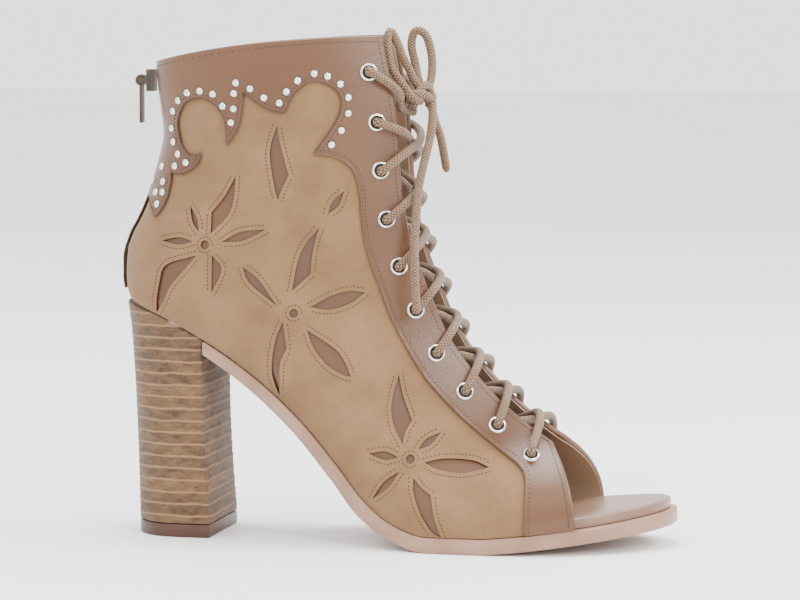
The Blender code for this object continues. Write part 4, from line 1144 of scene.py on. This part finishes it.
innerLoop = ((101.8, 0.6, 183.2), (99.6, 2.4, 187.6), (97.6, 5.0, 194.4), (95.8, 6.4, 202.0), (97.4, 7.0, 207.4), (101.4, 7.4, 205.8),
             (103.8, 7.4, 199.0), (104.4, 6.6, 192.0), (104.2, 4.2, 187.0), (103.0, 1.6, 183.4))
longEnd = ((105.9, -0.9, 182.0), (106.8, -4.0, 173.0), (106.2, -6.4, 164.0), (104.4, -9.8, 154.0),
           (103.0, -13.6, 144.0), (103.0, -17.6, 134.0), (103.0, -21.4, 124.0), (103.6, -24.0, 114.0),
           (104.2, -25.4, 104.0), (105.2, -26.6, 94.5))
shortEnd = ((102.6, 3.2, 181.0), (104.0, 6.7, 176.5), (105.0, 9.4, 170.6), (107.0, 11.0, 164.0),
            (108.2, 12.0, 157.0), (109.4, 12.6, 149.6))


def over():
    return boot["gap"] + boot["overlay"] + (0.5 * lace["width"] + lace["clearance"]) * mm


def under():
    return boot["upperWall"] + (0.5 * lace["width"] + lace["clearance"]) * mm


def fromHole(place, normal):
    return [place - normal * mm, place + normal * (boot["overlay"] + 4 * boot["gap"]),
            place + normal * (over() + lace["bend"] * mm)]


def intoHole(place, normal):
    return [place - normal * (under() + lace["tuck"] * mm), place - normal * (boot["upperWall"] + boot["gap"]),
            place + normal * 0.5 * mm]


def overEdge(side, share):
    edge, normal, past = edgeFrame(side, share)
    return edge + normal * over() + past * (lace["reach"] * mm), normal


def underEdge(side, share):
    edge, normal, past = edgeFrame(side, share)
    return edge - normal * under() + past * (0.5 * lace["reach"] * mm), normal


def crossing(seats, side, i, rise):
    here, above = eyeletShare(i), eyeletShare(i - 1)
    start, normal = overEdge(side, here + lace["edgeStart"] * (above - here))
    reach = here + lace["edgeEnd"] * (above - here)
    end, endNormal = (overEdge if i == lace["topCrossing"] else underEdge)(-side, reach)
    ahead = normal + endNormal
    ahead.y = 0.0
    middle = 0.5 * (start + end) + ahead.normalized() * (lace["reach"] * mm)
    middle.y = 0.0
    route = [*fromHole(*seats[side][i]), start, middle + ahead.normalized() * rise, end]
    goal = seats[-side][i - 1]
    if i > lace["topCrossing"]:
        return [*route, *intoHole(*goal)]
    return [*route, *reversed(fromHole(*goal))]


def laceTube(mesh, points, taper=False):
    places = curveThrough(points, lace["pitch"] * mm)
    radius = 0.5 * lace["width"] * mm
    sizes = [(radius, radius)] * len(places)
    if taper:
        sizes[-1] = (0.45 * radius, 0.45 * radius)
        sizes[-2] = (0.85 * radius, 0.85 * radius)
    sweep(mesh, places, steadyUps(places, Vector((0.3, 0.2, 0.9))), sizes, lace["sides"])
    return places


def millimetres(points):
    return [Vector(p) * mm for p in points]


def makeLacing(seats, look):
    mesh = bmesh.new()
    for i in range(lace["topCrossing"], boot["eyelets"]):
        for side in (outer, inner):
            laceTube(mesh, crossing(seats, side, i, side * -lace["saddle"] * mm))
    low = boot["eyelets"] - 1
    bar = []
    for side in (outer, inner):
        place, normal = seats[side][low]
        rim, rimNormal, past = edgeFrame(side, eyeletShare(low))
        half = [place + normal * 0.5 * mm, place - normal * (boot["upperWall"] + boot["gap"]),
                place - normal * (under() + lace["bend"] * mm), rim - rimNormal * (under() + lace["barTuck"] * mm)]
        bar = half if not bar else [*bar, *reversed(half)]
    laceTube(mesh, bar)
    for side in (outer, inner):
        top, below = eyeletShare(0), eyeletShare(1)
        edge, normal = overEdge(side, top + lace["tieDrop"] * (below - top))
        tie = [*fromHole(*seats[side][0]), edge, Vector(tieMiddles[side]) * mm, Vector(tieTops[side]) * mm]
        laceTube(mesh, tie)
    laceTube(mesh, millimetres(knotPath))
    laceTube(mesh, millimetres(wrapPath))
    piece = newPiece("lacing", mesh, (look,))
    shadeSmooth(piece.data, 60)
    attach(piece, "boot")
    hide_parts(*["lace_cross_%02d" % i for i in range(1, 9)], "lace_bar", "lace_tie", "lace_knot")


def makeBow(look):
    cords = (("bowLoopOuter", "lace_loop_outer", outerLoop, "object"), ("bowLoopInner", "lace_loop_inner", innerLoop, "object"),
             ("laceEndLong", "lace_end_long", longEnd, "bare"), ("laceEndShort", "lace_end_short", shortEnd, "bare"))
    for name, solid, points, farEnd in cords:
        mesh = bmesh.new()
        places = laceTube(mesh, millimetres(points), farEnd == "bare")
        piece = newPiece(name, mesh, (look,))
        shadeSmooth(piece.data, 60)
        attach(piece, "boot")
        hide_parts(solid)


# Sole, footbed and heel
footbed = {"roll": 1.5, "segments": 4, "step": 2.5}
sole = {"roll": 0.7, "segments": 2, "step": 2.5}


def soleOutline(back, tip, inset):
    count = 64
    xs = [back + (tip - back) * (1 - math.cos(math.radians(180) * k / count)) / 2 for k in range(count + 1)]
    near = [Vector((x, soleEdge(x, outer, inset(x)), 0.0)) for x in xs]
    far = [Vector((x, soleEdge(x, inner, inset(x)), 0.0)) for x in reversed(xs)]
    line = []
    for p in [*near, *far]:
        if not line or (p - line[-1]).length > 0.25 * mm:
            line.append(p)
    return line if (line[0] - line[-1]).length > 0.25 * mm else line[:-1]


def makePlate(name, outline, depth, raised, roll, segments, step, looks, bottomRoll):
    mesh = bmesh.new()
    base = mesh.faces.new([mesh.verts.new(p) for p in outline])
    if base.normal.z < 0:
        base.normal_flip()
    base.normal_update()
    made = bmesh.ops.extrude_face_region(mesh, geom=[base])["geom"]
    bmesh.ops.translate(mesh, verts=[v for v in made if isinstance(v, bmesh.types.BMVert)], vec=(0.0, 0.0, 1.0 * mm))
    bmesh.ops.recalc_face_normals(mesh, faces=mesh.faces)
    for v in mesh.verts:  # heights until the plate is bent: 0 below, full depth above
        v.co.z = 0.0 if v.co.z < 0.5 * mm else 6.0 * mm
    rims = [e for e in mesh.edges if len(e.link_faces) == 2 and abs(e.verts[0].co.z - e.verts[1].co.z) < 1e-6
            and (e.verts[0].co.z > mm or bottomRoll)]
    bmesh.ops.bevel(mesh, geom=rims, offset=roll * mm, affect="EDGES", segments=segments, profile=0.5, material=-1)
    low = min(v.co.x for v in mesh.verts)
    high = max(v.co.x for v in mesh.verts)
    x = low + step * mm
    while x < high:
        geom = [*mesh.verts, *mesh.edges, *mesh.faces]
        bmesh.ops.bisect_plane(mesh, geom=geom, plane_co=(x, 0, 0), plane_no=(1, 0, 0), dist=1e-6)
        x += step * mm
    for v in mesh.verts:
        share = v.co.z / (6.0 * mm)
        tilt = soleTilt(v.co.x)
        lift = raised(v.co.x) + share * depth(v.co.x)
        v.co.z = soleTop(v.co.x) + lift
    piece = newPiece(name, mesh, looks, 40)
    return piece


def makeSole():
    heel = along(backLine[0][1]) + boot["soleMargin"] + boot["upperWall"] + 2 * boot["gap"]
    margin = boot["soleMargin"] + boot["upperWall"] + 2 * boot["gap"]

    def inset(x):
        free = shareOf(x) - boot["toeEdge"]
        share = min(max(free / 0.03 + 0.2, 0.0), 1.0)
        return margin + (boot["insoleMargin"] - margin) * share

    bed = makePlate("footbed", soleOutline(heel, along(1.0) - boot["insoleMargin"], inset),
                    lambda x: boot["insoleThickness"], lambda x: boot["gap"], footbed["roll"], footbed["segments"],
                    footbed["step"], (leatherLook("footbedLeather", leather["footbed"], 0.38),), False)
    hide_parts("insole")
    start = breastX() + boot["gap"]

    def drop(x):
        return -soleDepth(x) / math.cos(soleTilt(x))

    unit = makePlate("outsoleUnit", soleOutline(start, along(1.0), lambda x: 0.0), lambda x: -drop(x), drop,
                     sole["roll"], sole["segments"], sole["step"],
                     (plainLook("soleLeather", (0.215, 0.116, 0.070), (0.295, 0.172, 0.115), 0.36, 700.0, 0.05),), True)
    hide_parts("outsole")
    for piece in (bed, unit):
        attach(piece, "boot")


def makeHeel():
    for name, solid, look, grooves in (("stackedHeel", "heel_block", stackLook(), True),
                                       ("topLift", "heel_top_lift", plainLook("liftRubber", (0.038, 0.009, 0.003), (0.060, 0.016, 0.005), 0.42), False)):
        mesh = bmesh.new()
        mesh.from_mesh(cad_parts[solid].data)
        bmesh.ops.remove_doubles(mesh, verts=mesh.verts, dist=0.02 * mm)
        bmesh.ops.dissolve_limit(mesh, angle_limit=math.radians(1.0), verts=mesh.verts, edges=mesh.edges)
        sharp = [e for e in mesh.edges if len(e.link_faces) == 2 and e.calc_face_angle(0.0) > math.radians(50)]
        bmesh.ops.bevel(mesh, geom=sharp, offset=0.5 * mm, affect="EDGES", segments=2, profile=0.5, material=-1,
                        clamp_overlap=True)
        if grooves:
            z = boot["topLift"] + boot["gap"] + stack["layer"] * mm
            while z < boot["seatHeight"] - 8 * mm:
                for off, pull in ((-0.45, 0.0), (0.0, 0.988), (0.45, 0.0)):
                    geom = [*mesh.verts, *mesh.edges, *mesh.faces]
                    made = bmesh.ops.bisect_plane(mesh, geom=geom, plane_co=(0, 0, z + off * mm), plane_no=(0, 0, 1), dist=1e-6)
                    if pull:
                        ring = [v for v in made["geom_cut"] if isinstance(v, bmesh.types.BMVert)]
                        middle = sum((v.co for v in ring), Vector()) / len(ring)
                        for v in ring:
                            v.co.x = middle.x + (v.co.x - middle.x) * pull
                            v.co.y = v.co.y * pull
                z += stack["layer"] * mm
        piece = newPiece(name, mesh, (look,), 40)
        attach(piece, "boot")
        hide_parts(solid)


# Back zip: tape, two rows of teeth, and the solids' own slider and pull tab
zipper = {"tape": (0.35, 4.4), "tapeOff": 0.75, "tooth": (1.7, 0.55, 0.5), "pitch": 1.35, "toothOff": 1.25}


def makeZip(metal):
    low = boot["seatHeight"] + 4.2 * mm
    high = boot["seatHeight"] + boot["shaftHeight"] - 1.4 * mm
    count = round((high - low) / (zipper["pitch"] * mm))
    places, ups, teeth = [], [], []
    for k in range(count + 1):
        z = low + (high - low) * k / count
        here = backPoint(z)
        slope = backPoint(z + mm) - backPoint(z - mm)
        away = Vector((-slope.z, 0.0, slope.x)).normalized()
        places.append(here + away * zipper["tapeOff"] * mm)
        ups.append(away)
        spot = here + away * zipper["toothOff"] * mm + Vector((0.0, (0.6 if k % 2 else -0.6) * mm, 0.0))
        teeth.append(standing(spot, away, Vector((0.0, 1.0, 0.0))))
    mesh = bmesh.new()
    thick, wide = (s * mm for s in zipper["tape"])
    sweep(mesh, places, ups, (thick, wide), 12)
    tape = newPiece("zipTape", mesh, (plainLook("tape", (0.150, 0.090, 0.055), (0.240, 0.150, 0.095), 0.9, 1800.0, 0.15),))
    shadeSmooth(tape.data, 50)
    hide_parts("zip_chain")
    tooth = bmesh.new()
    bmesh.ops.create_cube(tooth, size=1.0)
    bmesh.ops.scale(tooth, verts=tooth.verts, vec=[s * mm for s in zipper["tooth"]])
    bmesh.ops.bevel(tooth, geom=tooth.edges[:], offset=0.12 * mm, affect="EDGES", segments=1, profile=0.5, material=-1)
    row = scatter("zipTeeth", tooth, teeth, (metal,))
    for piece in (tape, row):
        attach(piece, "boot")
    for name in ("zip_slider", "zip_pull"):
        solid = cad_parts[name]
        solid.data.materials.clear()
        solid.data.materials.append(metal)


print("camera, floor and lights")
makeCamera()
makeStudio()
silver = metalLook("silver", (0.86, 0.84, 0.80), 0.2)
darkMetal = metalLook("darkMetal", (0.085, 0.068, 0.055), 0.42)
braided = braidLook()
shell, tree, leatherShown, loops, edge = makeUpper()
seats = eyeletSeats(tree)
print("laces")
makeLacing(seats, braided)
makeBow(braided)
print("edges, stitches, studs and eyelets")
rims = makeTrim(shell, tree, leatherShown, loops, edge)
makeStitches(tree, loops, edge, rims)
makeStuds(tree, silver)
makeEyelets(seats, silver)
print("sole, footbed and heel")
makeSole()
makeHeel()
print("zip")
makeZip(darkMetal)
shell.free()
